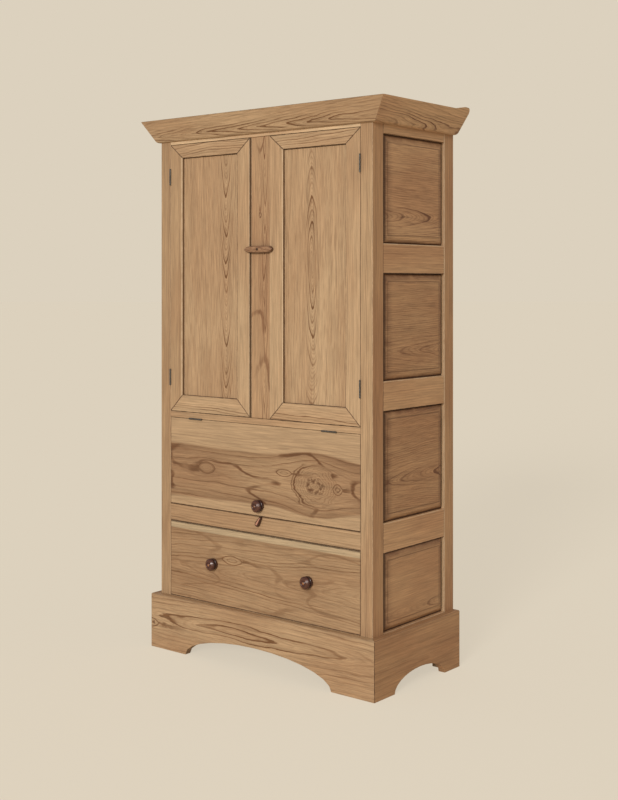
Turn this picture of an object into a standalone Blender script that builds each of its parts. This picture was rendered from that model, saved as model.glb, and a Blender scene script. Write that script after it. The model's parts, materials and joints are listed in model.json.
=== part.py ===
"""Pine storage cupboard with two framed doors, a lift-up flap and a drawer.

Metres, +Z up, +X to the right and +Y to the back as seen from the front. The origin is on the
floor, under the middle of the whole cupboard. Left and right are those of someone facing it.
"""
import math

import bmesh
import bpy
from mathutils import Matrix, Vector

# Overall and framing
case_width = 0.978
case_depth = 0.484
post_width = 0.049
post_depth = 0.060
board_thickness = 0.022
fit_gap = 0.0003
overrun = 0.010

# Front openings, counted upwards from the plinth
plinth_height = 0.199
drawer_opening_height = 0.278
catch_rail_height = 0.0615
flap_opening_height = 0.3215
floor_thickness = 0.022
door_opening_height = 0.987
top_rail_height = 0.056

# Sides: five rails and four raised panels, counted upwards
side_rail_height = 0.098
side_top_rail_height = 0.075
side_rail_reveal = 0.003
side_panel_shares = (0.1946, 0.2733, 0.2637, 0.2684)
side_rail_thickness = 0.022
panel_tongue = 0.008
panel_tongue_thickness = 0.006
panel_setback = 0.011
raised_quirk = 0.002
raised_height = 0.009
raised_margin = 0.030
raised_crown_share = 0.45

# Back, shelves and other inside boards
back_thickness = 0.012
back_rebate = 0.012
back_board_count = 7
back_groove = 0.004
back_foot = 0.104
shelf_thickness = 0.018
shelf_height_shares = (0.34, 0.67)
cleat_width = 0.018
cleat_height = 0.024
cleat_housing = 0.003
stop_width = 0.008
stop_length = 0.050
stop_depth = 0.016
running_gap = 0.001

# Tenons
tenon_thickness = 0.008
tenon_length = 0.024
tenon_shoulder = 0.009

# Cornice: leaning boards, mitred at the front corners
cornice_height = 0.081
cornice_lap = 0.045
cornice_foot_reach = 0.016
cornice_top_reach = 0.072
cornice_front_share = 0.53
cornice_side_share = 1.0
cornice_board = 0.020
cornice_arris = 0.018
arris_steps = 5
ear_height = 0.009
ear_length = 0.095
ear_round = 0.026
ear_foot_round = 0.009
ear_steps = 6
top_board_thickness = 0.018

# Plinth: mitred boards with bracket feet
plinth_board = 0.027
plinth_chamfer = 0.004
front_foot_width = 0.178
front_arch_height = 0.083
side_foot_width = 0.115
back_foot_width = 0.095
side_arch_height = 0.058
arch_steps = 14

# Mullion and doors
mullion_width = 0.089
mullion_thickness = 0.018
mullion_setback = 0.004
door_thickness = 0.022
door_hinge_gap = 0.001
door_free_gap = 0.002
door_top_gap = 0.0015
door_stile_width = 0.060
door_top_rail_width = 0.050
door_bottom_rail_width = 0.060
door_panel_thickness = 0.008
door_panel_setback = 0.009
door_panel_tongue = 0.008
mitre_tenon_inset = 0.013
mitre_tenon_shoulder = 0.001

# Flap and its catch
flap_thickness = 0.022
flap_top_gap = 0.001
flap_bottom_gap = 0.002
flap_end_gap = 0.0015
flap_knob_rise = 0.037
catch_length = 0.041
catch_width = 0.019
catch_thickness = 0.012
catch_tip_share = 0.50
catch_bevel = 0.003
catch_steps = 8
catch_pin_radius = 0.003
catch_pin_length = 0.012
catch_tilt = math.radians(34)
catch_drop = 0.0185

# Drawer
drawer_front_thickness = 0.021
drawer_end_gap = 0.0015
drawer_top_gap = 0.002
drawer_side_thickness = 0.013
drawer_side_drop = 0.010
drawer_rebate = 0.010
drawer_bottom_thickness = 0.008
drawer_bottom_rise = 0.012
drawer_groove = 0.006
drawer_back_gap = 0.003
drawer_knob_share = 0.5
drawer_knob_drop = 0.134

# Turned knobs
knob_radius = 0.0215
knob_projection = 0.031
knob_spigot_radius = 0.007
knob_spigot_length = 0.014
knob_steps = 28
knob_profile_shares = (
    (0.0, 1.0), (0.34, 0.98), (0.66, 0.91), (0.88, 0.81), (0.985, 0.71), (1.0, 0.63),
    (0.95, 0.55), (0.80, 0.49), (0.66, 0.44), (0.61, 0.37), (0.66, 0.29), (0.78, 0.22),
    (0.84, 0.14), (0.84, 0.06), (0.80, 0.0))

# Turn button on the mullion and its screw
button_length = 0.130
button_height = 0.026
button_thickness = 0.014
button_clearance = 0.0004
button_rise = 0.592
button_bevel = 0.002
button_outline_shares = (
    (-1.0, 0.0), (-0.92, 0.42), (-0.76, 0.78), (-0.45, 0.96), (0.0, 1.0), (0.45, 0.98),
    (0.82, 0.88), (0.92, 0.60), (1.0, 0.05), (0.94, -0.50), (0.82, -0.86), (0.45, -0.97),
    (0.0, -1.0), (-0.45, -0.96), (-0.76, -0.80), (-0.92, -0.45))
screw_shank_radius = 0.0022
screw_head_radius = 0.0048
screw_head_height = 0.0022
screw_head_shares = ((0.0, 1.0), (0.55, 0.82), (0.9, 0.42), (1.0, 0.0))
screw_bite = 0.016
screw_clearance = 0.0002

# Butt hinges
hinge_leaf_thickness = 0.0012
hinge_leaf_gap = 0.0003
hinge_leaf_width = 0.018
hinge_pin_radius = 0.0015
hinge_bore_radius = 0.0019
hinge_knuckle_radius = 0.0031
hinge_knuckle_gap = 0.0004
hinge_knuckle_count = 5
hinge_pin_forward = 0.0034
hinge_steps = 16
door_hinge_length = 0.060
flap_hinge_length = 0.062
door_hinge_top_drop = 0.119
door_hinge_bottom_rise = 0.126
flap_hinge_inset = 0.130

# Places that follow from the sizes
half_width = case_width / 2
inner_half = half_width - post_width
cornice_front_reach = cornice_top_reach * cornice_front_share
front_y = cornice_front_reach - (case_depth + cornice_front_reach) / 2
back_y = front_y + case_depth
drawer_top_z = plinth_height + drawer_opening_height
catch_top_z = drawer_top_z + catch_rail_height
floor_bottom_z = catch_top_z + flap_opening_height
floor_top_z = floor_bottom_z + floor_thickness
door_top_z = floor_top_z + door_opening_height
post_top_z = door_top_z + top_rail_height
cornice_bottom_z = post_top_z - cornice_lap
door_back_y = front_y + door_thickness
back_front_y = back_y - back_thickness
mullion_half = mullion_width / 2
hinge_y = front_y - hinge_pin_forward
door_joint_x = inner_half - door_hinge_gap / 2
flap_joint_z = floor_bottom_z - flap_top_gap / 2
button_z = floor_top_z + button_rise
shelf_zs = [floor_top_z + share * door_opening_height for share in shelf_height_shares]
catch_centre_z = catch_top_z + flap_bottom_gap - catch_drop


def empty_scene():
    for old in list(bpy.data.objects):
        bpy.data.objects.remove(old)


def collection(name):
    made = bpy.data.collections.new(name)
    bpy.context.scene.collection.children.link(made)
    return made


def material(name, colour, roughness, metallic=0.0):
    made = bpy.data.materials.new(name)
    made.use_nodes = True
    shader = made.node_tree.nodes["Principled BSDF"]
    shader.inputs["Base Color"].default_value = (*colour, 1.0)
    shader.inputs["Roughness"].default_value = roughness
    shader.inputs["Metallic"].default_value = metallic
    return made


empty_scene()
parts = collection("storage_cupboard")
cutters = collection("cutters")
pine_front = material("pine_front", (0.50, 0.31, 0.16), 0.55)
pine_side = material("pine_side", (0.42, 0.25, 0.125), 0.6)
pine_inside = material("pine_inside", (0.55, 0.37, 0.20), 0.7)
knob_wood = material("knob_wood", (0.075, 0.020, 0.012), 0.25)
button_wood = material("button_wood", (0.16, 0.07, 0.035), 0.4)
iron = material("iron", (0.045, 0.042, 0.040), 0.5, 1.0)


def across(side, near, far):
    """The X span from near to far off the middle, on the left (-1) or the right (1)."""
    return tuple(sorted((side * near, side * far)))


def box_mesh(name, spans):
    """A box over its X, Y and Z spans."""
    low = Vector(span[0] for span in spans)
    high = Vector(span[1] for span in spans)
    mesh = bpy.data.meshes.new(name)
    shape = bmesh.new()
    scale = Matrix.Diagonal((*(high - low), 1.0))
    bmesh.ops.create_cube(shape, size=1.0, matrix=Matrix.Translation((low + high) / 2) @ scale)
    shape.to_mesh(mesh)
    shape.free()
    return mesh


def rod_mesh(name, radius, length, steps):
    """A rod along Z, centred on the origin."""
    mesh = bpy.data.meshes.new(name)
    shape = bmesh.new()
    bmesh.ops.create_cone(shape, cap_ends=True, segments=steps, radius1=radius, radius2=radius,
                          depth=length)
    shape.to_mesh(mesh)
    shape.free()
    return mesh


def rod_through(name, radius, x, z, ys, steps):
    """A rod along Y between two places."""
    mesh = rod_mesh(name, radius, ys[1] - ys[0], steps)
    mesh.transform(Matrix.Translation((x, (ys[0] + ys[1]) / 2, z)) @ Matrix.Rotation(math.pi / 2, 4, "X"))
    return mesh


def outline_mesh(name, points, thickness, stand):
    """A flat outline in local X and Y, centred on its thickness, set up by the matrix stand."""
    curve = bpy.data.curves.new(name, "CURVE")
    curve.dimensions = "2D"
    curve.fill_mode = "BOTH"
    curve.extrude = thickness / 2
    spline = curve.splines.new("POLY")
    spline.points.add(len(points) - 1)
    for spot, (x, y) in zip(spline.points, points):
        spot.co = (x, y, 0.0, 1.0)
    spline.use_cyclic_u = True
    flat = bpy.data.objects.new(name, curve)
    cutters.objects.link(flat)
    bpy.context.view_layer.update()
    mesh = bpy.data.meshes.new_from_object(
        flat.evaluated_get(bpy.context.evaluated_depsgraph_get()))
    bpy.data.objects.remove(flat)
    mesh.transform(stand)
    shape = bmesh.new()
    shape.from_mesh(mesh)
    bmesh.ops.remove_doubles(shape, verts=shape.verts, dist=fit_gap / 10)
    bmesh.ops.recalc_face_normals(shape, faces=shape.faces)
    shape.to_mesh(mesh)
    shape.free()
    return mesh


def saw(mesh, point, normal):
    """Saws a mesh off at a plane: what lies on the side of the normal falls away."""
    shape = bmesh.new()
    shape.from_mesh(mesh)
    cut = bmesh.ops.bisect_plane(shape, geom=shape.verts[:] + shape.edges[:] + shape.faces[:],
                                 plane_co=point, plane_no=normal, clear_outer=True)
    rim = [piece for piece in cut["geom_cut"] if isinstance(piece, bmesh.types.BMEdge)]
    bmesh.ops.holes_fill(shape, edges=rim)
    bmesh.ops.recalc_face_normals(shape, faces=shape.faces)
    shape.to_mesh(mesh)
    shape.free()


def pivot(name, place):
    """An empty on a joint's axis, which carries the pieces that move with it."""
    axle = bpy.data.objects.new(name, None)
    axle.location = place
    axle.empty_display_size = knob_radius
    parts.objects.link(axle)
    return axle


def part(name, mesh, finish, carrier=None):
    """One piece from a mesh in world places, with its origin at its middle."""
    corners = [vertex.co for vertex in mesh.vertices]
    middle = Vector((min(corner[axis] for corner in corners)
                     + max(corner[axis] for corner in corners)) / 2 for axis in range(3))
    mesh.transform(Matrix.Translation(-middle))
    mesh.materials.clear()
    mesh.materials.append(finish)
    piece = bpy.data.objects.new(name, mesh)
    piece.location = middle
    if carrier:
        piece.parent = carrier
        piece.location = middle - carrier.location
    parts.objects.link(piece)
    return piece


def board(name, spans, finish, carrier=None):
    return part(name, box_mesh(name, spans), finish, carrier)


def guide(name, mesh):
    """A shape in world places that only cuts or joins other pieces."""
    shape = bpy.data.objects.new(name, mesh)
    shape.hide_render = True
    shape.display_type = "WIRE"
    cutters.objects.link(shape)
    return shape


def block(name, spans):
    return guide(name, box_mesh(name, spans))


def apply_shape(piece, operation, tool):
    step = piece.modifiers.new(f"{operation.lower()} {tool.name}", "BOOLEAN")
    step.operation = operation
    step.solver = "EXACT"
    step.object = tool


def cut(piece, *tools):
    for tool in tools:
        apply_shape(piece, "DIFFERENCE", tool)


def unite(piece, *tools):
    for tool in tools:
        apply_shape(piece, "UNION", tool)


def ease(piece, width):
    """Rounds a piece's edges."""
    step = piece.modifiers.new("eased edges", "BEVEL")
    step.width = width
    step.segments = 2
    step.limit_method = "ANGLE"


def grown(spans, gap):
    return tuple((low - gap, high + gap) for low, high in spans)


def join_tenon(member, into, name, spans):
    """Gives a member a tenon over the given spans, and the other piece its mortise."""
    unite(member, block(f"{name}_tenon", spans))
    cut(into, block(f"{name}_mortise", grown(spans, fit_gap)))


def side_rail_spans():
    """The Z spans of a side's five rails, from the bottom up."""
    low = plinth_height + side_rail_reveal - side_rail_height
    lower_rails = len(side_panel_shares) * side_rail_height
    panels_height = post_top_z - side_top_rail_height - low - lower_rails
    spans = []
    for share in side_panel_shares:
        spans.append((low, low + side_rail_height))
        low += side_rail_height + panels_height * share
    spans.append((post_top_z - side_top_rail_height, post_top_z))
    return spans


def side_frame(label, side):
    """Two corner posts and five rails, with the cleats and stops that are glued to them."""
    name = f"side_frame_{label}"
    xs = across(side, inner_half, half_width)
    front_post = (front_y, front_y + post_depth)
    back_post = (back_y - post_depth, back_y)
    frame = board(name, (xs, front_post, (0.0, post_top_z)), pine_side)
    unite(frame, block(f"{name}_back_post", (xs, back_post, (0.0, post_top_z))))
    rail_xs = across(side, half_width - side_rail_thickness, half_width)
    rail_ys = (front_post[1] - tenon_length, back_post[0] + tenon_length)
    rails = side_rail_spans()
    for number, rail_zs in enumerate(rails, 1):
        unite(frame, block(f"{name}_rail_{number}", (rail_xs, rail_ys, rail_zs)))
    cleat_xs = across(side, inner_half - cleat_width, inner_half + cleat_housing)
    cleat_ys = (front_y + board_thickness + running_gap, back_front_y - fit_gap)
    seats = {"bottom": plinth_height - floor_thickness, "flap_floor": catch_top_z - shelf_thickness,
             "floor": floor_bottom_z, "lower_shelf": shelf_zs[0], "upper_shelf": shelf_zs[1]}
    for seat, height in seats.items():
        zs = (height - fit_gap - cleat_height, height - fit_gap)
        unite(frame, block(f"{name}_{seat}_cleat", (cleat_xs, cleat_ys, zs)))
    stop_xs = across(side, inner_half - stop_width, inner_half + cleat_housing)
    stop_ys = (front_y + flap_thickness + fit_gap, front_y + flap_thickness + stop_depth)
    stop_middle = (catch_top_z + floor_bottom_z) / 2
    stop_zs = (stop_middle - stop_length / 2, stop_middle + stop_length / 2)
    unite(frame, block(f"{name}_flap_stop", (stop_xs, stop_ys, stop_zs)))
    groove_xs = panel_layer(side, fit_gap)
    for number, (lower, upper) in enumerate(zip(rails, rails[1:]), 1):
        ys = (front_post[1] - panel_tongue - fit_gap, back_post[0] + panel_tongue + fit_gap)
        zs = (lower[1] - panel_tongue - fit_gap, upper[0] + panel_tongue + fit_gap)
        cut(frame, block(f"{name}_groove_{number}", (groove_xs, ys, zs)))
    rebate_xs = across(side, inner_half - overrun, inner_half + back_rebate)
    rebate_ys = (back_front_y - fit_gap, back_y + overrun)
    rebate_zs = (back_foot - fit_gap, post_top_z + overrun)
    cut(frame, block(f"{name}_rebate", (rebate_xs, rebate_ys, rebate_zs)))
    return frame


def panel_layer(side, gap=0.0):
    """The X span of the side panels' tongues, which lie behind their bevels."""
    outer = half_width - panel_setback
    return across(side, outer - panel_tongue_thickness - gap, outer + gap)


def raised_panel(name, side, ys, zs):
    """A panel whose margins rise in a rounded bevel from thin tongues to a flat field."""
    xs = panel_layer(side)
    mesh = box_mesh(name, (xs, ys, zs))
    shape = bmesh.new()
    shape.from_mesh(mesh)
    face = max(shape.faces, key=lambda one: side * one.calc_center_median().x)
    steep = 1 - raised_crown_share / 2
    rises = ((panel_tongue + raised_quirk, 0.0),
             (raised_margin * raised_crown_share, raised_height * steep),
             (raised_margin * (1 - raised_crown_share), raised_height * (1 - steep)))
    for margin, rise in rises:
        bmesh.ops.inset_region(shape, faces=[face], thickness=margin, depth=rise,
                                use_even_offset=True)
    shape.to_mesh(mesh)
    shape.free()
    return part(name, mesh, pine_side)


def side_panels(label, side):
    rails = side_rail_spans()
    ys = (front_y + post_depth - panel_tongue, back_y - post_depth + panel_tongue)
    for number, (lower, upper) in enumerate(zip(rails, rails[1:]), 1):
        zs = (lower[1] - panel_tongue, upper[0] + panel_tongue)
        raised_panel(f"side_panel_{label}_{number}", side, ys, zs)


def middle_third(start, thickness):
    """The span of a tenon in the middle of a thickness."""
    middle = start + thickness / 2
    return (middle - tenon_thickness / 2, middle + tenon_thickness / 2)


def front_rail(name, zs, frames):
    """A rail between the front posts, tenoned into both."""
    ys = (front_y, front_y + board_thickness)
    rail = board(name, ((fit_gap - inner_half, inner_half - fit_gap), ys, zs), pine_front)
    tenon_zs = (zs[0] + tenon_shoulder, zs[1] - tenon_shoulder)
    for side, frame in frames.items():
        xs = across(side, inner_half - tenon_shoulder, inner_half + tenon_length)
        spans = (xs, middle_third(front_y, board_thickness), tenon_zs)
        join_tenon(rail, frame, f"{name}_{'left' if side < 0 else 'right'}", spans)
    return rail


def inside_boards():
    """The boards that lie between the posts, from the case's bottom to the upper shelf."""
    xs = (fit_gap - inner_half, inner_half - fit_gap)
    ys = (front_y, back_front_y - fit_gap)
    behind = (front_y + board_thickness + fit_gap, ys[1])
    behind_doors = (door_back_y + running_gap, ys[1])
    board("case_bottom", (xs, ys, (plinth_height - floor_thickness, plinth_height)), pine_inside)
    floor_zs = (catch_top_z - shelf_thickness, catch_top_z)
    board("flap_floor", (xs, behind, floor_zs), pine_inside)
    floor = board("cupboard_floor", (xs, ys, (floor_bottom_z, floor_top_z)), pine_front)
    for name, height in zip(("lower_shelf", "upper_shelf"), shelf_zs):
        board(name, (xs, behind_doors, (height, height + shelf_thickness)), pine_inside)
    return floor


def back_panel():
    """Upright tongued boards in the posts' rebates, their joints V-grooved at the back."""
    half = inner_half + back_rebate - fit_gap
    back = board("back", ((-half, half), (back_front_y, back_y), (back_foot, post_top_z)), pine_inside)
    for number in range(1, back_board_count):
        x = -half + 2 * half * number / back_board_count
        turned = Matrix.Translation((x, back_y, (back_foot + post_top_z) / 2))
        turned = turned @ Matrix.Rotation(math.pi / 4, 4, "Z")
        side = back_groove / math.sqrt(2)
        length = (post_top_z - back_foot) / 2 + overrun
        groove = box_mesh(f"back_groove_{number}", ((-side, side), (-side, side), (-length, length)))
        groove.transform(turned)
        cut(back, guide(groove.name, groove))


def mullion(top_rail, floor):
    """The fixed board between the doors, with stub tenons up and down."""
    ys = (front_y + mullion_setback, front_y + mullion_setback + mullion_thickness)
    zs = (floor_top_z + fit_gap, door_top_z - fit_gap)
    made = board("mullion", ((-mullion_half, mullion_half), ys, zs), pine_front)
    xs = (tenon_shoulder - mullion_half, mullion_half - tenon_shoulder)
    tenon_ys = middle_third(ys[0], mullion_thickness)
    tops = (door_top_z - tenon_shoulder, door_top_z + tenon_length)
    feet = (floor_top_z - tenon_shoulder, floor_top_z + tenon_shoulder)
    join_tenon(made, top_rail, "mullion_top", (xs, tenon_ys, tops))
    join_tenon(made, floor, "mullion_foot", (xs, tenon_ys, feet))
    return made


def cornice_reach(height, share):
    """How far a cornice's outer face stands off the case at a height above its foot."""
    slope = (cornice_top_reach - cornice_foot_reach) / cornice_height
    return (cornice_foot_reach + slope * height) * share


def cornice_level_thickness(share):
    """The thickness of a leaning cornice board measured level."""
    slope = (cornice_reach(cornice_height, share) - cornice_reach(0.0, share)) / cornice_height
    return cornice_board * math.hypot(1.0, slope)


def cornice_inner(height, share):
    return cornice_reach(height, share) - cornice_level_thickness(share)


def cornice_profile(share, top):
    """A cornice's section as reach and height: a leaning board with a rounded lower arris."""
    lean = math.atan2(cornice_top_reach - cornice_foot_reach, cornice_height)
    turn = math.pi / 2 - lean
    start = cornice_foot_reach - cornice_arris * math.tan(turn / 2)
    points = [(fit_gap, 0.0)]
    for step in range(arris_steps + 1):
        angle = turn * step / arris_steps - math.pi / 2
        reach = start + cornice_arris * math.cos(angle)
        points.append((max(reach * share, 2 * fit_gap), cornice_arris * (1 + math.sin(angle))))
    points.append((cornice_reach(top, share), top))
    points.append((cornice_inner(top, share), top))
    gain = (cornice_inner(top, share) - cornice_inner(0.0, share)) / top
    points.append((fit_gap, (fit_gap - cornice_inner(0.0, share)) / gain))
    return points


def ear_outline(back):
    """What is sawn off a side cornice, seen from the side, to leave its raised ear and round end."""
    low = cornice_bottom_z + cornice_height
    high = low + ear_height
    rise_start = back - ear_length
    rise_end = back - ear_round - ear_height
    points = [(front_y - cornice_top_reach - overrun, low)]
    for step in range(ear_steps + 1):
        share = step / ear_steps
        eased = (1 - math.cos(math.pi * share)) / 2
        points.append((rise_start + (rise_end - rise_start) * share, low + ear_height * eased))
    for step in range(1, ear_steps + 1):
        angle = math.pi / 2 * (1 - step / ear_steps)
        points.append((back - ear_round + ear_round * math.cos(angle),
                       high - ear_round * (1 - math.sin(angle))))
    foot = cornice_bottom_z
    for step in range(ear_steps + 1):
        angle = math.pi / 2 * step / ear_steps
        points.append((back - ear_foot_round + ear_foot_round * math.cos(angle),
                       foot + ear_foot_round * (1 - math.sin(angle))))
    points += [(back - ear_foot_round, foot - overrun), (back + 2 * overrun, foot - overrun),
               (back + 2 * overrun, high + overrun), (front_y - cornice_top_reach - overrun, high + overrun)]
    return points


def cornice():
    """Three boards mitred at the front; the ends of the side boards rise in a rounded ear."""
    out = {side: Vector((side * cornice_front_share, 1.0, 0.0)).normalized() for side in (-1, 1)}
    corner = {side: Vector((side * half_width, front_y, 0.0)) for side in (-1, 1)}
    length = case_width + 2 * (cornice_top_reach + overrun)
    stand = Matrix(((0, 0, 1, 0), (-1, 0, 0, front_y), (0, 1, 0, cornice_bottom_z), (0, 0, 0, 1)))
    front = outline_mesh("cornice_front", cornice_profile(cornice_front_share, cornice_height),
                         length, stand)
    for side in (-1, 1):
        saw(front, corner[side] - out[side] * fit_gap / 2, out[side])
    part("cornice_front", front, pine_front)
    ear_stand = Matrix(((0, 0, 1, 0), (1, 0, 0, 0), (0, 1, 0, 0), (0, 0, 0, 1)))
    ear = guide("cornice_ear", outline_mesh("cornice_ear", ear_outline(back_y),
                                            case_width + 2 * length, ear_stand))
    side_length = case_depth + 2 * cornice_top_reach + overrun
    middle = back_y + overrun - side_length / 2
    for side, label in ((-1, "left"), (1, "right")):
        stand = Matrix(((side, 0, 0, side * half_width), (0, 0, 1, middle),
                        (0, 1, 0, cornice_bottom_z), (0, 0, 0, 1)))
        name = f"cornice_{label}"
        profile = cornice_profile(cornice_side_share, cornice_height + ear_height)
        mesh = outline_mesh(name, profile, side_length, stand)
        saw(mesh, corner[side] + out[side] * fit_gap / 2, -out[side])
        cut(part(name, mesh, pine_side), ear)


def top_board():
    """The case's top, whose front and side edges lean with the cornice that they carry."""
    zs = (post_top_z + fit_gap, post_top_z + fit_gap + top_board_thickness)
    spans = ((-half_width, half_width), (front_y, back_y), zs)
    mesh = box_mesh("top_board", spans)
    for vertex in mesh.vertices:
        height = vertex.co.z - cornice_bottom_z
        side_reach = cornice_inner(height, cornice_side_share) - fit_gap
        front_reach = cornice_inner(height, cornice_front_share) - fit_gap
        vertex.co.x += math.copysign(side_reach, vertex.co.x)
        if vertex.co.y < (front_y + back_y) / 2:
            vertex.co.y -= front_reach
    part("top_board", mesh, pine_inside)


def arch_points(start, end, rise):
    """Half an ellipse from start to end along X, rising from zero."""
    centre = (start + end) / 2
    half = (end - start) / 2
    return [(centre - half * math.cos(math.pi * step / arch_steps),
             rise * math.sin(math.pi * step / arch_steps)) for step in range(arch_steps + 1)]


def plinth():
    """Three boards round the foot, mitred at the front, arched between bracket feet."""
    outer = half_width + plinth_board
    lip = plinth_board - plinth_chamfer
    chamfer_out = Vector((0.0, -1.0, 1.0)).normalized()
    front_points = [(-outer, 0.0)]
    front_points += arch_points(front_foot_width - outer, outer - front_foot_width, front_arch_height)
    front_points += [(outer, 0.0), (outer, plinth_height), (-outer, plinth_height)]
    stand = Matrix(((1, 0, 0, 0), (0, 0, -1, front_y - plinth_board / 2), (0, 1, 0, 0), (0, 0, 0, 1)))
    front = outline_mesh("plinth_front", front_points, plinth_board - 2 * fit_gap, stand)
    saw(front, Vector((0.0, front_y - lip, plinth_height)), chamfer_out)
    for side in (-1, 1):
        out = Vector((side, 1.0, 0.0)).normalized()
        saw(front, Vector((side * half_width, front_y, 0.0)) - out * fit_gap / 2, out)
    part("plinth_front", front, pine_front)
    start = front_y - plinth_board
    side_points = [(start, 0.0)]
    side_points += arch_points(start + side_foot_width, back_y - back_foot_width, side_arch_height)
    side_points += [(back_y, 0.0), (back_y, plinth_height), (start, plinth_height)]
    for side, label in ((-1, "left"), (1, "right")):
        stand = Matrix(((0, 0, side, side * (half_width + plinth_board / 2)), (1, 0, 0, 0),
                        (0, 1, 0, 0), (0, 0, 0, 1)))
        name = f"plinth_{label}"
        mesh = outline_mesh(name, side_points, plinth_board - 2 * fit_gap, stand)
        saw(mesh, Vector((side * (half_width + lip), 0.0, plinth_height)),
            Vector((side, 0.0, 1.0)).normalized())
        out = Vector((side, 1.0, 0.0)).normalized()
        saw(mesh, Vector((side * half_width, front_y, 0.0)) + out * fit_gap / 2, -out)
        part(name, mesh, pine_side)


def mitred_member(name, spans, planes, finish, carrier):
    """A frame member sawn at both ends along the lines from outer to inner corners."""
    mesh = box_mesh(name, spans)
    for point, normal in planes:
        saw(mesh, point, normal)
    return part(name, mesh, finish, carrier)


def door(label, side, frame):
    """A mitred frame with stub tenons, and a flat panel in its grooves."""
    hinge_x = side * door_joint_x
    carrier = pivot(f"door_{label}_hinge", (hinge_x, hinge_y, 0.0))
    outer_x = inner_half - door_hinge_gap
    free_x = mullion_half + door_free_gap
    low, high = floor_top_z + door_top_gap, door_top_z - door_top_gap
    ys = (front_y, front_y + door_thickness)
    inner = {"hanging": outer_x - door_stile_width, "free": free_x + door_stile_width}
    outer = {"hanging": outer_x, "free": free_x}
    rail_in = {"top": high - door_top_rail_width, "bottom": low + door_bottom_rail_width}
    rail_out = {"top": high, "bottom": low}

    def mitre(stile, rail):
        """The mitre's plane at one corner: a point on it and its normal towards the rail."""
        start = Vector((side * outer[stile], 0.0, rail_out[rail]))
        end = Vector((side * inner[stile], 0.0, rail_in[rail]))
        normal = (end - start).cross(Vector((0.0, 1.0, 0.0))).normalized()
        to_rail = Vector((0.0, 0.0, rail_out[rail] - rail_in[rail]))
        return start, normal if normal.dot(to_rail) > 0 else -normal

    groove_ys = (front_y + door_panel_setback - fit_gap,
                 front_y + door_panel_setback + door_panel_thickness + fit_gap)
    groove = block(f"door_{label}_groove", (
        across(side, inner["free"] - door_panel_tongue - fit_gap,
               inner["hanging"] + door_panel_tongue + fit_gap), groove_ys,
        (rail_in["bottom"] - door_panel_tongue - fit_gap, rail_in["top"] + door_panel_tongue + fit_gap)))
    stiles = {}
    for stile in ("hanging", "free"):
        xs = across(side, *sorted((inner[stile], outer[stile])))
        planes = []
        for rail in ("top", "bottom"):
            point, normal = mitre(stile, rail)
            planes.append((point - normal * fit_gap / 2, normal))
        stiles[stile] = mitred_member(f"door_{label}_{stile}_stile", (xs, ys, (low, high)), planes,
                                      pine_front, carrier)
        cut(stiles[stile], groove)
    for rail in ("top", "bottom"):
        zs = tuple(sorted((rail_in[rail], rail_out[rail])))
        planes = []
        for stile in ("hanging", "free"):
            point, normal = mitre(stile, rail)
            planes.append((point + normal * fit_gap / 2, -normal))
        xs = across(side, outer["free"], outer["hanging"])
        made = mitred_member(f"door_{label}_{rail}_rail", (xs, ys, zs), planes, pine_front, carrier)
        cut(made, groove)
        out = 1 if rail == "top" else -1
        tenon_zs = tuple(sorted((rail_in[rail] + out * (door_panel_tongue + mitre_tenon_shoulder),
                                 rail_out[rail] - out * mitre_tenon_inset)))
        for stile, into in (("hanging", 1), ("free", -1)):
            root = inner[stile] - into * door_panel_tongue
            tip = outer[stile] - into * mitre_tenon_inset
            spans = (across(side, root, tip), middle_third(front_y, door_thickness), tenon_zs)
            join_tenon(made, stiles[stile], f"{made.name}_{stile}", spans)
    panel_ys = (front_y + door_panel_setback, front_y + door_panel_setback + door_panel_thickness)
    panel_xs = across(side, inner["free"] - door_panel_tongue, inner["hanging"] + door_panel_tongue)
    panel_zs = (rail_in["bottom"] - door_panel_tongue, rail_in["top"] + door_panel_tongue)
    board(f"door_{label}_panel", (panel_xs, panel_ys, panel_zs), pine_front, carrier)
    turn = Matrix.Identity(4) if side < 0 else Matrix.Rotation(math.pi, 4, "Y")
    for place, height in (("upper", door_top_z - door_hinge_top_drop),
                          ("lower", floor_top_z + door_hinge_bottom_rise)):
        stand = Matrix.Translation((hinge_x, hinge_y, height)) @ turn
        hinge(f"door_{label}_{place}_hinge", door_hinge_length, stand, frame, stiles["hanging"],
              carrier)


def hinge_recess(name, length, stand, from_x, to_x):
    depth = hinge_leaf_width + fit_gap
    spans = (tuple(sorted((from_x, to_x))), (0.0, depth), (-length / 2 - fit_gap, length / 2 + fit_gap))
    mesh = box_mesh(name, spans)
    mesh.transform(stand)
    return guide(name, mesh)


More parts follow.
